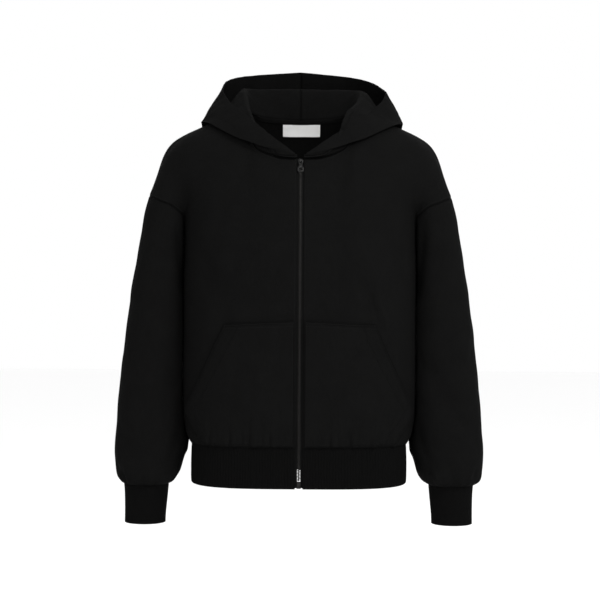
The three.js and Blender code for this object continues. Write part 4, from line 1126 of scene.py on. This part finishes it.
def make_neck_label(material):
    x = mix(LABEL["from"], LABEL["to"], shares(48))[None, :]
    down = np.concatenate([[1, 0.985], shares(16)[-2:0:-1], [0.015, 0]])[:, None]
    z = LABEL["top"] - down * LABEL["height"]
    sides = np.abs((x - (LABEL["from"] + LABEL["to"]) / 2) / (LABEL["to"] - LABEL["from"]) * 2)
    stand = 1.6 * down ** 2 * (0.35 + 0.65 * (1 - sides ** 4)) + 0.25 * np.sin(x / 9 + 4 * down) * down
    outside = back_patch(x, z, (PATCH_BEHIND + stand)[..., None])
    inside = back_patch(x, z, (PATCH_BEHIND + stand + LABEL["cloth"])[..., None])
    mesh = Wall(outside, inside, rounded={"low": 0.25}).mesh("neck_label_weave", True)
    piece = add_object("neck_label_weave", mesh, material, ["neck_label"])


def zip_line_y(z):
    """The outside of the front along the zip."""
    return MID_Y - np.where(z < HEM_SEAM_Z, HEM["front"], BODY.at("front", z))


def make_zip_tapes(material):
    z = mix(*TAPE_ENDS, shares(290))[:, None]
    middle = (TAPE_INNER_X + TAPE_OUTER_X) / 2
    for name, sign in (("zip_tape_left", 1), ("zip_tape_right", -1)):
        x = sign * mix(TAPE_INNER_X, TAPE_OUTER_X, shares(10))[None, :]
        cord = 0.5 * beside(np.abs(x) - TAPE_INNER_X - TAPE_CORD, TAPE_CORD)
        wave = TAPE_WAVE * np.sin(z / 7) * np.abs(x) / middle
        y = zip_line_y(z) + ZIP_MIDDLE - ZIP_TAPE_CLOTH / 2 - 0.6 * cord + wave
        outside = stack(x, y, z)
        mesh = Wall(outside, outside + (0, ZIP_TAPE_CLOTH, 0)).mesh(name + "_weave", sign < 0)
        piece = add_object(name + "_weave", mesh, material, [name])


# Outline of a zip tooth, across from the tape to its head and along the zip
TOOTH = ((3.2, -0.55), (1.5, -0.62), (0.2, -0.5), (-0.55, -0.62), (-1.0, -0.35), (-1.0, 0.35), (-0.55, 0.62),
         (0.2, 0.5), (1.5, 0.62), (3.2, 0.55))
TOOTH_ROOM = 0.7


def tooth_points():
    """Points of one tooth in four layers, smaller at its two faces."""
    ring = np.array(TOOTH)
    centre = ring.mean(axis=0)
    half = CHAIN_THICKNESS / 2
    layers = []
    for y, size in ((-half, 0.78), (-half + 0.3, 1), (half - 0.3, 1), (half, 0.78)):
        outline = centre + (ring - centre) * size
        layers.append(stack(outline[:, 0], y, outline[:, 1]))
    return np.concatenate(layers)


def tooth_faces(first, total, turned):
    """Sides and two caps of the tooth whose points start at a number."""
    count = len(TOOTH)
    faces = []
    for start in range(first, first + total - count, count):
        for k in range(count):
            a, b = start + k, start + (k + 1) % count
            faces.append((a, b, b + count, a + count))
    faces.append(tuple(range(first, first + count))[::-1])
    faces.append(tuple(range(first + total - count, first + total)))
    return [face[::-1] for face in faces] if turned else faces


def make_teeth(material):
    one = tooth_points()
    points, faces = [], []
    pitch = sizes().tooth_pitch / MM
    for side, start in ((1, 0.5), (-1, 1.0)):
        for i in range(int((CHAIN[0] - CHAIN[1]) / pitch)):
            z = CHAIN[0] - pitch * (i + start)
            if z - TOOTH_ROOM < CHAIN[1]:
                continue
            faces += tooth_faces(len(points) * len(one), len(one), side < 0)
            points.append(one * (side, 1, 1) + (0, float(zip_line_y(z)) + ZIP_MIDDLE, z))
    mesh = new_mesh("zip_teeth", np.concatenate(points), faces, sharp=40)
    add_object("zip_teeth", mesh, material, ["zip_chain"])


def softened(name, source, width, segments=2):
    """A copy of a hard part's shape with its sharp edges rounded."""
    mesh = source.copy()
    mesh.name = name
    helper = linked(name + "_helper", mesh)
    weld = helper.modifiers.new("weld", "WELD")
    weld.merge_threshold = 0.01 * MM
    flat = helper.modifiers.new("flat", "DECIMATE")
    flat.decimate_type = "DISSOLVE"
    flat.angle_limit = math.radians(1)
    bevel = helper.modifiers.new("bevel", "BEVEL")
    bevel.width = width * MM
    bevel.segments = segments
    bevel.limit_method = "ANGLE"
    bevel.angle_limit = math.radians(35)
    bpy.context.view_layer.update()
    done = bpy.data.meshes.new_from_object(helper.evaluated_get(bpy.context.evaluated_depsgraph_get()))
    bpy.data.objects.remove(helper)
    done.name = name
    smooth(done, sharp=32)
    return done


def box_mesh(name, width, depth, height, middle):
    """A plain block, to be softened."""
    half = np.array((width, depth, height)) / 2
    corners = [(x, y, z) for x in (-1, 1) for y in (-1, 1) for z in (-1, 1)]
    points = (np.array(corners) * half + middle) * MM
    faces = [(0, 1, 3, 2), (4, 6, 7, 5), (0, 4, 5, 1), (2, 3, 7, 6), (0, 2, 6, 4), (1, 5, 7, 3)]
    mesh = bpy.data.meshes.new(name)
    mesh.from_pydata(points.tolist(), [], faces)
    return mesh


def make_zip_metal(material, plain):
    nodes = frame["nodes"]
    slider = softened("zip_slider_metal", nodes["zip_slider"].data, SLIDER_ROUND)
    add_object("zip_slider_metal", slider, material, ["zip_slider"])
    pull = softened("zip_pull_metal", nodes["zip_pull"].data, PULL_ROUND)
    add_object("zip_pull_metal", pull, material, ["zip_pull"], body="pull_tab")
    y = float(zip_line_y(HEM_BOTTOM_Z)) + ZIP_MIDDLE
    z = HEM_BOTTOM_Z + BOX["height"] / 2
    block = box_mesh("zip_box_block", BOX["width"], BOX["thickness"], BOX["height"], (0, y, z))
    box = softened("zip_box_metal", block, BOX["round"], 3)
    add_object("zip_box_metal", box, plain, ["zip_box"])


# Stitches: how far each line is from its edge, and a thread's rings as place, size and rise
EDGE_STITCH = 4.5
OPENING_STITCH = 27.8
NECK_STITCH = 4.5
ZIP_STITCH = 3
ARMHOLE_STITCH = 4
ARMHOLE_FROM = 0.5
HOOD_STITCH = 3.5
POCKET_STITCHES = (("top", 3), ("top", 9), ("right", 3), ("right", OPENING_STITCH), ("left", 2.5))
THREAD_SIDES = 6
THREAD_RINGS = ((-0.5, 0.35, -0.9), (-0.3, 0.9, 0.1), (0, 1, 0.35), (0.3, 0.9, 0.1), (0.5, 0.35, -0.9))


def inset_line(surface, edge, distance):
    """A line on a surface at a distance in from one of its edges, with the ways out."""
    grid, outward = surface
    if edge in ("left", "right"):
        grid = np.swapaxes(grid, 0, 1)
        outward = -outward
    if edge in ("right", "top"):
        grid = grid[::-1]
        outward = -outward
    steps = np.linalg.norm(np.diff(grid, axis=0), axis=-1)
    far = np.concatenate([np.zeros((1, grid.shape[1])), np.cumsum(steps, axis=0)])
    row = np.maximum((far <= distance).sum(axis=0) - 1, 0)
    row = np.minimum(row, len(grid) - 2)
    column = np.arange(grid.shape[1])
    share = (distance - far[row, column]) / np.maximum(far[row + 1, column] - far[row, column], 1e-9)
    out = outward * normals(grid)
    return mix(grid[row, column], grid[row + 1, column], share[:, None]), unit(out[row, column])


def stitch_line(name, edge, distance, from_share=0):
    """Middles, directions and ways out of the stitches beside an edge, from a share of its length on."""
    points, out = inset_line(SURFACES[name], edge, distance)
    first = int(from_share * (len(points) - 1))
    points, out = points[first:], out[first:]
    lengths = lengths_along(points)
    count = max(int(lengths[-1] * MM / sizes().stitch_pitch), 1)
    at = (np.arange(count) + 0.5) / count * lengths[-1]
    along = unit(read_rows(points, lengths, at + 0.5) - read_rows(points, lengths, at - 0.5))
    return read_rows(points, lengths, at), along, unit(read_rows(out, lengths, at))


def thread_points(at, along, out):
    """Rings of points round one short thread, sunk at both ends."""
    length, thread = sizes().stitch_length / MM, sizes().thread_radius / MM
    side = np.cross(along, out)
    turns = [2 * math.pi * k / THREAD_SIDES for k in range(THREAD_SIDES)]
    points = []
    for place, size, rise in THREAD_RINGS:
        middle = at + along * place * length + out * rise * thread
        points += [middle + (side * math.cos(turn) + out * math.sin(turn)) * size * thread for turn in turns]
    return points


def stitch_mesh(name, lines):
    """The threads of all the stitches along some lines."""
    points, faces = [], []
    for line in lines:
        for at, along, out in zip(*line):
            first = len(points)
            points += thread_points(at, along, out)
            for start in range(first, len(points) - THREAD_SIDES, THREAD_SIDES):
                for k in range(THREAD_SIDES):
                    a, b = start + k, start + (k + 1) % THREAD_SIDES
                    faces.append((a, b, b + THREAD_SIDES, a + THREAD_SIDES))
    return new_mesh(name, np.array(points), faces)


def add_stitches(name, lines, material):
    add_object(name, stitch_mesh(name, lines), material)


def make_stitches(material):
    """Topstitching beside the seams, as the photo shows it."""
    body = []
    for name in ("front_left", "front_right"):
        body += [stitch_line(name, "top", NECK_STITCH), stitch_line(name, "left", ZIP_STITCH)]
        body.append(stitch_line(name, "right", ARMHOLE_STITCH, ARMHOLE_FROM))
    body.append(stitch_line("back", "top", NECK_STITCH))
    body += [stitch_line("back", edge, ARMHOLE_STITCH, ARMHOLE_FROM) for edge in ("right", "left")]
    add_stitches("body_topstitch", body, material)
    pockets = []
    for name in ("pocket_left", "pocket_right"):
        pockets += [stitch_line(name, edge, distance) for edge, distance in POCKET_STITCHES]
    add_stitches("pocket_topstitch", pockets, material)
    hood = [stitch_line(name, "right", HOOD_STITCH) for name in ("hood_left", "hood_right")]
    add_stitches("hood_topstitch", hood, material)


# Materials: gloss of the cloth, and the pitches of the knits' loops across and down, in metres
CLOTH_GLOSS = 0.02
FLEECE_LOOPS = (0.0012, 0.0010)
RIB_LOOPS = (0.0016, 0.0012)
LABEL_THREADS = 0.00045
LABEL_WARP = 0.0009
# Widths of the seam crease and of the pockets' stitch grooves, which the fleece cuts into its bump and
# darkens in its colour as painted shade
CREASE = 2.2 * MM
EDGE_GROOVE = 0.8 * MM
OPENING_GROOVE = 1.1 * MM


class Socket:
    """A value in a material. Maths written with it adds the nodes."""

    def __init__(self, maker, socket):
        self.maker = maker
        self.socket = socket

    def math(self, operation, *values):
        return self.maker.node("ShaderNodeMath", {"operation": operation}, dict(enumerate(values)))

    def __add__(self, other):
        return self.math("ADD", self, other)

    def __radd__(self, other):
        return self.math("ADD", other, self)

    def __sub__(self, other):
        return self.math("SUBTRACT", self, other)

    def __rsub__(self, other):
        return self.math("SUBTRACT", other, self)

    def __mul__(self, other):
        return self.math("MULTIPLY", self, other)

    def __rmul__(self, other):
        return self.math("MULTIPLY", other, self)

    def __pow__(self, other):
        return self.math("MULTIPLY", self, self) if other == 2 else self.math("POWER", self, other)

    def __rpow__(self, other):
        return self.math("POWER", other, self)

    def sine(self):
        return self.math("SINE", self)

    def absolute(self):
        return self.math("ABSOLUTE", self)

    def below(self, limit):
        return self.math("LESS_THAN", self, limit)


class Finish:
    """A material and the one way in which its nodes are made."""

    def __init__(self, name, **constants):
        self.material = bpy.data.materials.new(name)
        self.material.use_nodes = True
        self.tree = self.material.node_tree
        self.shader = self.tree.nodes["Principled BSDF"]
        for socket, value in constants.items():
            self.shader.inputs[socket.replace("_", " ")].default_value = value

    def node(self, kind, settings=None, inputs=None, output=0):
        made = self.tree.nodes.new(kind)
        for key, value in (settings or {}).items():
            setattr(made, key, value)
        for key, value in (inputs or {}).items():
            socket = self.input(made, key)
            if isinstance(value, Socket):
                self.tree.links.new(value.socket, socket)
            else:
                socket.default_value = value
        found = made.outputs[output] if isinstance(output, int) else self.output(made, output)
        return Socket(self, found)

    def input(self, made, key):
        if isinstance(key, int):
            return made.inputs[key]
        return next(s for s in made.inputs if key in (s.identifier, s.name))

    def output(self, made, key):
        return next(s for s in made.outputs if key in (s.identifier, s.name))

    def feed(self, socket, value):
        self.tree.links.new(value.socket, self.shader.inputs[socket])

    def mixed(self, share, first, second):
        colours = {"Factor_Float": share, "A_Color": (*first, 1), "B_Color": (*second, 1)}
        return self.node("ShaderNodeMix", {"data_type": "RGBA"}, colours, "Result_Color")

    def noise(self, place, scale, detail=2, roughness=0.5):
        inputs = {"Vector": place, "Scale": scale, "Detail": detail, "Roughness": roughness}
        return self.node("ShaderNodeTexNoise", {}, inputs)

    def bump(self, height, distance):
        inputs = {"Height": height, "Distance": distance, "Strength": 1}
        self.feed("Normal", self.node("ShaderNodeBump", {}, inputs))

    def solid_place(self):
        """Places in metres in the piece's own space."""
        return self.node("ShaderNodeTexCoord", {}, {}, "Object")

    def flat_place(self, name="cloth"):
        """The two values of a map on the cloth, in metres."""
        place = self.node("ShaderNodeUVMap", {"uv_map": name})
        u = self.node("ShaderNodeSeparateXYZ", {}, {"Vector": place}, "X")
        v = self.node("ShaderNodeSeparateXYZ", {}, {"Vector": place}, "Y")
        return u, v


def knit(u, v, across, down):
    """Height of a plain knit: rows of small leaning loops, their pitches in metres."""
    lean = (u * (math.pi / across)).sine().absolute()
    return ((v * (2 * math.pi / down) + lean * 2.2).sine() * 0.5 + 0.5) * lean


def line_at(distance, place, width):
    """A soft line where a distance reaches a place, all in metres."""
    return math.e ** (-1 * ((distance - place) * (1 / width)) ** 2)


def fleece_material(dark, light):
    """Heavy fleece: a fine knit face with a short brushed haze, creased at its seams, and painted shade that
    darkens its colour along the seam creases and in the pockets' stitch grooves.
    """
    finish = Finish("fleece", Roughness=0.95, Specular_IOR_Level=CLOTH_GLOSS)
    place = finish.solid_place()
    u, v = finish.flat_place()
    seam, opening = finish.flat_place("seams")
    # The seam crease and the pockets' stitch grooves are cut into the bump and also darken the colour as
    # painted shade
    crease_and_shade = line_at(seam, 0, CREASE)
    on_pocket = opening.below(FAR * MM / 2)
    groove_and_shade = line_at(seam, EDGE_STITCH * MM, EDGE_GROOVE) * on_pocket
    groove_and_shade = groove_and_shade + line_at(opening, OPENING_STITCH * MM, OPENING_GROOVE)
    loops = knit(u, v, *FLEECE_LOOPS)
    haze = finish.noise(place, 900, 3, 0.7)
    patches = finish.noise(place, 30, 3, 0.6)
    grain = finish.noise(place, 380, 2, 0.6)
    share = loops * 0.2 + haze * 0.35 + grain * 0.55 + patches * 0.25 - 0.2
    # Painted shade: the colour is darkened along the seam creases and in the pockets' stitch grooves
    shade = 1 - crease_and_shade * 0.75 - groove_and_shade * 0.5
    finish.feed("Base Color", finish.mixed(share * shade, dark, light))
    finish.feed("Roughness", 0.86 + haze * 0.2)
    finish.bump(loops * 0.3 + haze * 0.5 + grain * 0.6 - groove_and_shade * 0.8 - crease_and_shade, 0.0009)
    return finish.material


def rib_material(dark, light):
    """Ribbed knit: finer loops, darker between the ribs."""
    finish = Finish("rib_knit", Roughness=0.95, Specular_IOR_Level=CLOTH_GLOSS)
    place = finish.solid_place()
    u, v = finish.flat_place()
    loops = knit(u, v, *RIB_LOOPS)
    grain = finish.noise(place, 420, 3, 0.6)
    share = loops * 0.4 + grain * 0.7 - 0.1
    finish.feed("Base Color", finish.mixed(share, dark, light))
    finish.feed("Roughness", 0.86 + grain * 0.2)
    finish.bump(loops + grain * 0.4, 0.0006)
    return finish.material


def twill_material(dark, light, name, pitch):
    """Narrow woven tape with a slanted weave."""
    finish = Finish(name, Roughness=0.8, Specular_IOR_Level=0.05)
    u, v = finish.flat_place()
    slant = ((u + v) * (2 * math.pi / pitch)).sine() * 0.5 + 0.5
    threads = (v * (2 * math.pi / (0.4 * pitch))).sine() * 0.5 + 0.5
    place = finish.solid_place()
    wear = finish.noise(place, 150, 2)
    share = slant * 0.6 + threads * 0.2 + wear * 0.3
    finish.feed("Base Color", finish.mixed(share, dark, light))
    finish.feed("Roughness", 0.7 + wear * 0.2)
    finish.bump(slant + threads * 0.5, 0.0003)
    return finish.material


def thread_material(dark, light):
    finish = Finish("thread", Roughness=0.7, Specular_IOR_Level=0.06)
    place = finish.solid_place()
    wear = finish.noise(place, 700, 2)
    finish.feed("Base Color", finish.mixed(wear, dark, light))
    finish.feed("Roughness", 0.5 + wear * 0.25)
    finish.bump(wear, 0.0001)
    return finish.material


def label_material(dark, light):
    """Bare woven satin: fine threads across, with a softly worn face."""
    finish = Finish("label_weave", Roughness=0.6, Specular_IOR_Level=0.35)
    u, v = finish.flat_place()
    threads = (v * (2 * math.pi / LABEL_THREADS)).sine() * 0.5 + 0.5
    warp = (u * (2 * math.pi / LABEL_WARP)).sine() * 0.5 + 0.5
    place = finish.solid_place()
    cloud = finish.noise(place, 90, 3)
    share = threads * 0.35 + warp * 0.25 + cloud * 0.5
    finish.feed("Base Color", finish.mixed(share, dark, light))
    finish.feed("Roughness", 0.5 + cloud * 0.25)
    finish.bump(threads + warp * 0.5, 0.0002)
    return finish.material


def metal_material(dark, light, name, roughness):
    """Plated metal with fine brushing, and random brighter patches painted into the colour as highlights."""
    finish = Finish(name, Metallic=1.0)
    place = finish.solid_place()
    stretched = finish.node("ShaderNodeVectorMath", {"operation": "MULTIPLY"}, {0: place, 1: (1, 1, 0.15)})
    brush = finish.noise(stretched, 2600, 2, 0.6)
    painted_highlight_patches = finish.noise(place, 240, 3, 0.6)
    # Painted highlight: a coarse noise brightens the colour in random patches that stand for highlights on
    # the metal and the teeth
    finish.feed("Base Color", finish.mixed(painted_highlight_patches * 1.1 + brush * 0.2 - 0.25, dark, light))
    finish.feed("Roughness", roughness - 0.08 + painted_highlight_patches * 0.2 + brush * 0.08)
    finish.bump(brush, 0.00004)
    return finish.material


def floor_material(colour):
    finish = Finish("studio_floor", Roughness=0.9)
    place = finish.solid_place()
    cloud = finish.noise(place, 2, 2)
    finish.feed("Base Color", finish.mixed(cloud * 0.2, colour, tuple(0.97 * c for c in colour)))
    return finish.material


def aim(item, target):
    item.rotation_euler = (Vector(target) - item.location).to_track_quat("-Z", "Y").to_euler()


# Lights: place, size, share of the main light's power
LIGHTS = {
    "key": ((1.5, -1.7, 1.3), (1.0, 1.0), 1),
    "fill": ((-1.8, -1.6, 0.9), (1.4, 1.4), 0.1),
    "back": ((0.2, 2.0, 1.2), (1.6, 1.0), 0.15),
}
FRONT_LIGHT = ((0.2, -2.7, 0.25), (1.0, 1.0))
HOODIE_MIDDLE = (0, 0, -0.33)
CHEST = (0, 0, -0.2)

# The picture is 600 pixels wide, and a pixel is 1.85 mm in the plane through the middle of the neck
PICTURE_WIDTH = 1.85 * 0.6
SENSOR = 36
CAMERA_X = 0.0005
CAMERA_Z = -0.345
FLOOR_EDGE = 12
FLOOR_COLOUR = (0.97, 0.97, 0.97)


def add_light(name, place, size, power, target=HOODIE_MIDDLE):
    data = bpy.data.lights.new(name, "AREA")
    data.shape = "RECTANGLE"
    data.size, data.size_y = size
    data.energy = power
    light = linked(name, data)
    light.location = place
    aim(light, target)


def make_camera(studio):
    data = bpy.data.cameras.new("camera")
    data.sensor_width = SENSOR
    data.lens = SENSOR * studio.camera_distance / PICTURE_WIDTH
    camera = linked("camera", data)
    camera.location = (CAMERA_X, -studio.camera_distance, CAMERA_Z)
    camera.rotation_euler = (math.pi / 2, studio.camera_roll, 0)
    bpy.context.scene.camera = camera


def make_world(strength):
    world = bpy.data.worlds.new("studio")
    world.use_nodes = True
    background = world.node_tree.nodes["Background"]
    background.inputs["Color"].default_value = (1, 1, 1, 1)
    background.inputs["Strength"].default_value = strength
    bpy.context.scene.world = world


def make_floor(depth):
    mesh = bpy.data.meshes.new("floor")
    corners = [(x * FLOOR_EDGE, y * FLOOR_EDGE, depth) for x, y in ((-1, -1), (1, -1), (1, 1), (-1, 1))]
    mesh.from_pydata(corners, [], [(0, 1, 2, 3)])
    mesh.materials.append(floor_material(FLOOR_COLOUR))
    floor = linked("floor", mesh)


def make_studio(studio):
    view = bpy.context.scene.view_settings
    view.view_transform = "Standard"
    view.look = "None"
    make_world(studio.world_light)
    make_floor(studio.floor_depth)
    for name, (place, size, share) in LIGHTS.items():
        add_light(name, place, size, share * studio.key_light)
    add_light("front", *FRONT_LIGHT, studio.front_light, CHEST)


def colour_property(name, description, value):
    return bpy.props.FloatVectorProperty(name=name, description=description, default=value, size=3, min=0,
                                         max=1, subtype="COLOR")


class HoodieColours(bpy.types.PropertyGroup):
    """Colours of the cloth, the threads and the metal."""
    fleece_dark: colour_property("Fleece, dark", "Colour between the loops", (0.0014, 0.0014, 0.001379))
    fleece_light: colour_property("Fleece, light", "Colour of the loops' tops", (0.0056, 0.0056, 0.005516))
    rib_dark: colour_property("Rib, dark", "Colour between the ribs' loops", (0.0009, 0.0009, 0.0008865))
    rib_light: colour_property("Rib, light", "Colour of the ribs' tops", (0.0048, 0.0048, 0.004728))
    tape_dark: colour_property("Tape, dark", "Colour between the tape's threads", (0.0012, 0.0012, 0.001182))
    tape_light: colour_property("Tape, light", "Colour of the tape's threads", (0.004, 0.004, 0.00394))
    label_dark: colour_property("Label, dark", "Colour between the label's threads", (0.8, 0.8, 0.788))
    label_light: colour_property("Label, light", "Colour of the label's threads", (0.95, 0.95, 0.9357))
    # The light colours of the metal and of the teeth are painted highlights, laid on in random patches
    metal_dark: colour_property("Metal, dark", "Colour of the zip's plated metal", (0.004, 0.004, 0.00394))
    metal_light: colour_property("Metal, rubbed", "Colour where the metal is rubbed", (0.042, 0.042, 0.04137))
    teeth_dark: colour_property("Teeth, dark", "Colour between the teeth", (0.004, 0.00388, 0.00376))
    teeth_light: colour_property("Teeth, light", "Colour of the teeth's faces", (0.03, 0.0291, 0.0282))


def length_property(name, description, value):
    return bpy.props.FloatProperty(name=name, description=description, default=value, min=0.0001,
                                   precision=5, unit="LENGTH")


def number_property(name, description, value, **more):
    return bpy.props.FloatProperty(name=name, description=description, default=value, **more)


def count_property(name, description, value, least):
    return bpy.props.IntProperty(name=name, description=description, default=value, min=least)


class HoodieSizes(bpy.types.PropertyGroup):
    """Sizes of the sewing, the ribs and the zip's teeth."""
    fold_strength: number_property("Fold strength", "Depth of the body's folds", 1.3, min=0, max=1.5,
                                   subtype="FACTOR")
    stitch_length: length_property("Stitch length", "Length of one visible thread", 0.0029)
    stitch_pitch: length_property("Stitch pitch", "From one stitch to the next", 0.0035)
    thread_radius: length_property("Thread radius", "Half the width of a visible thread", 0.00034)
    tooth_pitch: length_property("Tooth pitch", "From one tooth to the next on the same side", 0.0025)
    hem_ribs: count_property("Hem ribs", "Ribs round the hem band", 228, 20)
    cuff_ribs: count_property("Cuff ribs", "Ribs round each cuff", 46, 10)


class HoodieStudio(bpy.types.PropertyGroup):
    """Camera, floor and light."""
    camera_distance: number_property("Camera distance", "From the middle of the neck to the camera", 2.5,
                                     min=1, unit="LENGTH")
    camera_roll: number_property("Camera roll", "Lean of the camera to one side", math.radians(-0.35),
                                 subtype="ANGLE")
    floor_depth: number_property("Floor height", "Height of the pale floor", -1.1, unit="LENGTH")
    world_light: number_property("World light", "Strength of the white surroundings", 1.0, min=0)
    front_light: number_property("Front light", "Power of the soft light in front", 32, min=0,
                                 subtype="POWER")
    key_light: number_property("Key light", "Power of the main soft light", 60, min=0, subtype="POWER")


# Each finish: its maker, the two colours that it runs between, and what else the maker needs
FINISHES = {
    "fleece": (fleece_material, "fleece_dark", "fleece_light"),
    "rib": (rib_material, "rib_dark", "rib_light"),
    "tape": (twill_material, "tape_dark", "tape_light", "tape_twill", 0.0016),
    "zip_tape": (twill_material, "tape_dark", "tape_light", "zip_tape_weave", 0.0011),
    "thread": (thread_material, "rib_dark", "fleece_light"),
    "label": (label_material, "label_dark", "label_light"),
    "metal": (metal_material, "metal_dark", "metal_light", "zip_metal", 0.32),
    "teeth": (metal_material, "teeth_dark", "teeth_light", "zip_teeth", 0.42),
}
MATERIALS = {}


def material(name):
    """A finish of the hoodie, made when it is first asked for."""
    if name not in MATERIALS:
        colours = bpy.context.scene.hoodie_colours
        maker, dark, light, *rest = FINISHES[name]
        MATERIALS[name] = maker(getattr(colours, dark), getattr(colours, light), *rest)
    return MATERIALS[name]


class HOODIE_OT_body(bpy.types.Operator):
    """Makes the two fronts and the back"""
    bl_idname = "hoodie.body"
    bl_label = "Fronts and back"

    def execute(self, context):
        make_fronts(material("fleece"))
        make_back(material("fleece"))
        return {"FINISHED"}


class HOODIE_OT_sleeves(bpy.types.Operator):
    """Makes the two sleeves"""
    bl_idname = "hoodie.sleeves"
    bl_label = "Sleeves"

    def execute(self, context):
        make_sleeves(material("fleece"))
        return {"FINISHED"}


class HOODIE_OT_hood(bpy.types.Operator):
    """Makes the two halves of the hood, worn down"""
    bl_idname = "hoodie.hood"
    bl_label = "Hood"

    def execute(self, context):
        make_hood(material("fleece"))
        return {"FINISHED"}


class HOODIE_OT_pockets(bpy.types.Operator):
    """Makes the two front pockets"""
    bl_idname = "hoodie.pockets"
    bl_label = "Pockets"

    def execute(self, context):
        make_pockets(material("fleece"))
        return {"FINISHED"}


class HOODIE_OT_ribs(bpy.types.Operator):
    """Makes the ribbed hem and cuffs"""
    bl_idname = "hoodie.ribs"
    bl_label = "Hem and cuffs"

    def execute(self, context):
        make_ribs(material("rib"))
        return {"FINISHED"}


class HOODIE_OT_neck(bpy.types.Operator):
    """Makes the neck tape and the bare label"""
    bl_idname = "hoodie.neck"
    bl_label = "Neck tape and label"

    def execute(self, context):
        make_neck_tape(material("tape"))
        make_neck_label(material("label"))
        return {"FINISHED"}


class HOODIE_OT_zip(bpy.types.Operator):
    """Makes the zip's tapes, teeth, slider, pull and box"""
    bl_idname = "hoodie.zip"
    bl_label = "Zip"

    def execute(self, context):
        make_zip_tapes(material("zip_tape"))
        make_teeth(material("teeth"))
        make_zip_metal(material("metal"), material("teeth"))
        return {"FINISHED"}


class HOODIE_OT_stitches(bpy.types.Operator):
    """Makes the topstitching, on the surfaces made before"""
    bl_idname = "hoodie.stitches"
    bl_label = "Stitches"

    def execute(self, context):
        make_stitches(material("thread"))
        return {"FINISHED"}


class HOODIE_OT_stage(bpy.types.Operator):
    """Makes the camera, the floor and the lights"""
    bl_idname = "hoodie.stage"
    bl_label = "Stage"

    def execute(self, context):
        make_camera(context.scene.hoodie_studio)
        make_studio(context.scene.hoodie_studio)
        return {"FINISHED"}


OPERATORS = (HOODIE_OT_stage, HOODIE_OT_body, HOODIE_OT_sleeves, HOODIE_OT_hood, HOODIE_OT_pockets,
             HOODIE_OT_ribs, HOODIE_OT_neck, HOODIE_OT_zip, HOODIE_OT_stitches)


class HOODIE_PT_panel(bpy.types.Panel):
    """Lists the pieces and their settings"""
    bl_idname = "HOODIE_PT_panel"
    bl_label = "Hoodie"
    bl_space_type = "VIEW_3D"
    bl_region_type = "UI"
    bl_category = "Hoodie"

    def draw(self, context):
        for group in (context.scene.hoodie_colours, context.scene.hoodie_sizes, context.scene.hoodie_studio):
            for name in group.bl_rna.properties.keys():
                if name not in ("rna_type", "name"):
                    self.layout.prop(group, name)
        for operator in OPERATORS:
            self.layout.operator(operator.bl_idname)


CLASSES = (HoodieColours, HoodieSizes, HoodieStudio, *OPERATORS, HOODIE_PT_panel)


def register():
    for kind in CLASSES:
        bpy.utils.register_class(kind)
    bpy.types.Scene.hoodie_colours = bpy.props.PointerProperty(type=HoodieColours)
    bpy.types.Scene.hoodie_sizes = bpy.props.PointerProperty(type=HoodieSizes)
    bpy.types.Scene.hoodie_studio = bpy.props.PointerProperty(type=HoodieStudio)


def unregister():
    del bpy.types.Scene.hoodie_colours
    del bpy.types.Scene.hoodie_sizes
    del bpy.types.Scene.hoodie_studio
    for kind in reversed(CLASSES):
        bpy.utils.unregister_class(kind)


def main():
    register()
    bpy.ops.hoodie.stage()
    bpy.ops.hoodie.body()
    bpy.ops.hoodie.sleeves()
    bpy.ops.hoodie.hood()
    bpy.ops.hoodie.pockets()
    bpy.ops.hoodie.ribs()
    bpy.ops.hoodie.neck()
    bpy.ops.hoodie.zip()
    bpy.ops.hoodie.stitches()


if __name__ == "__main__":
    main()
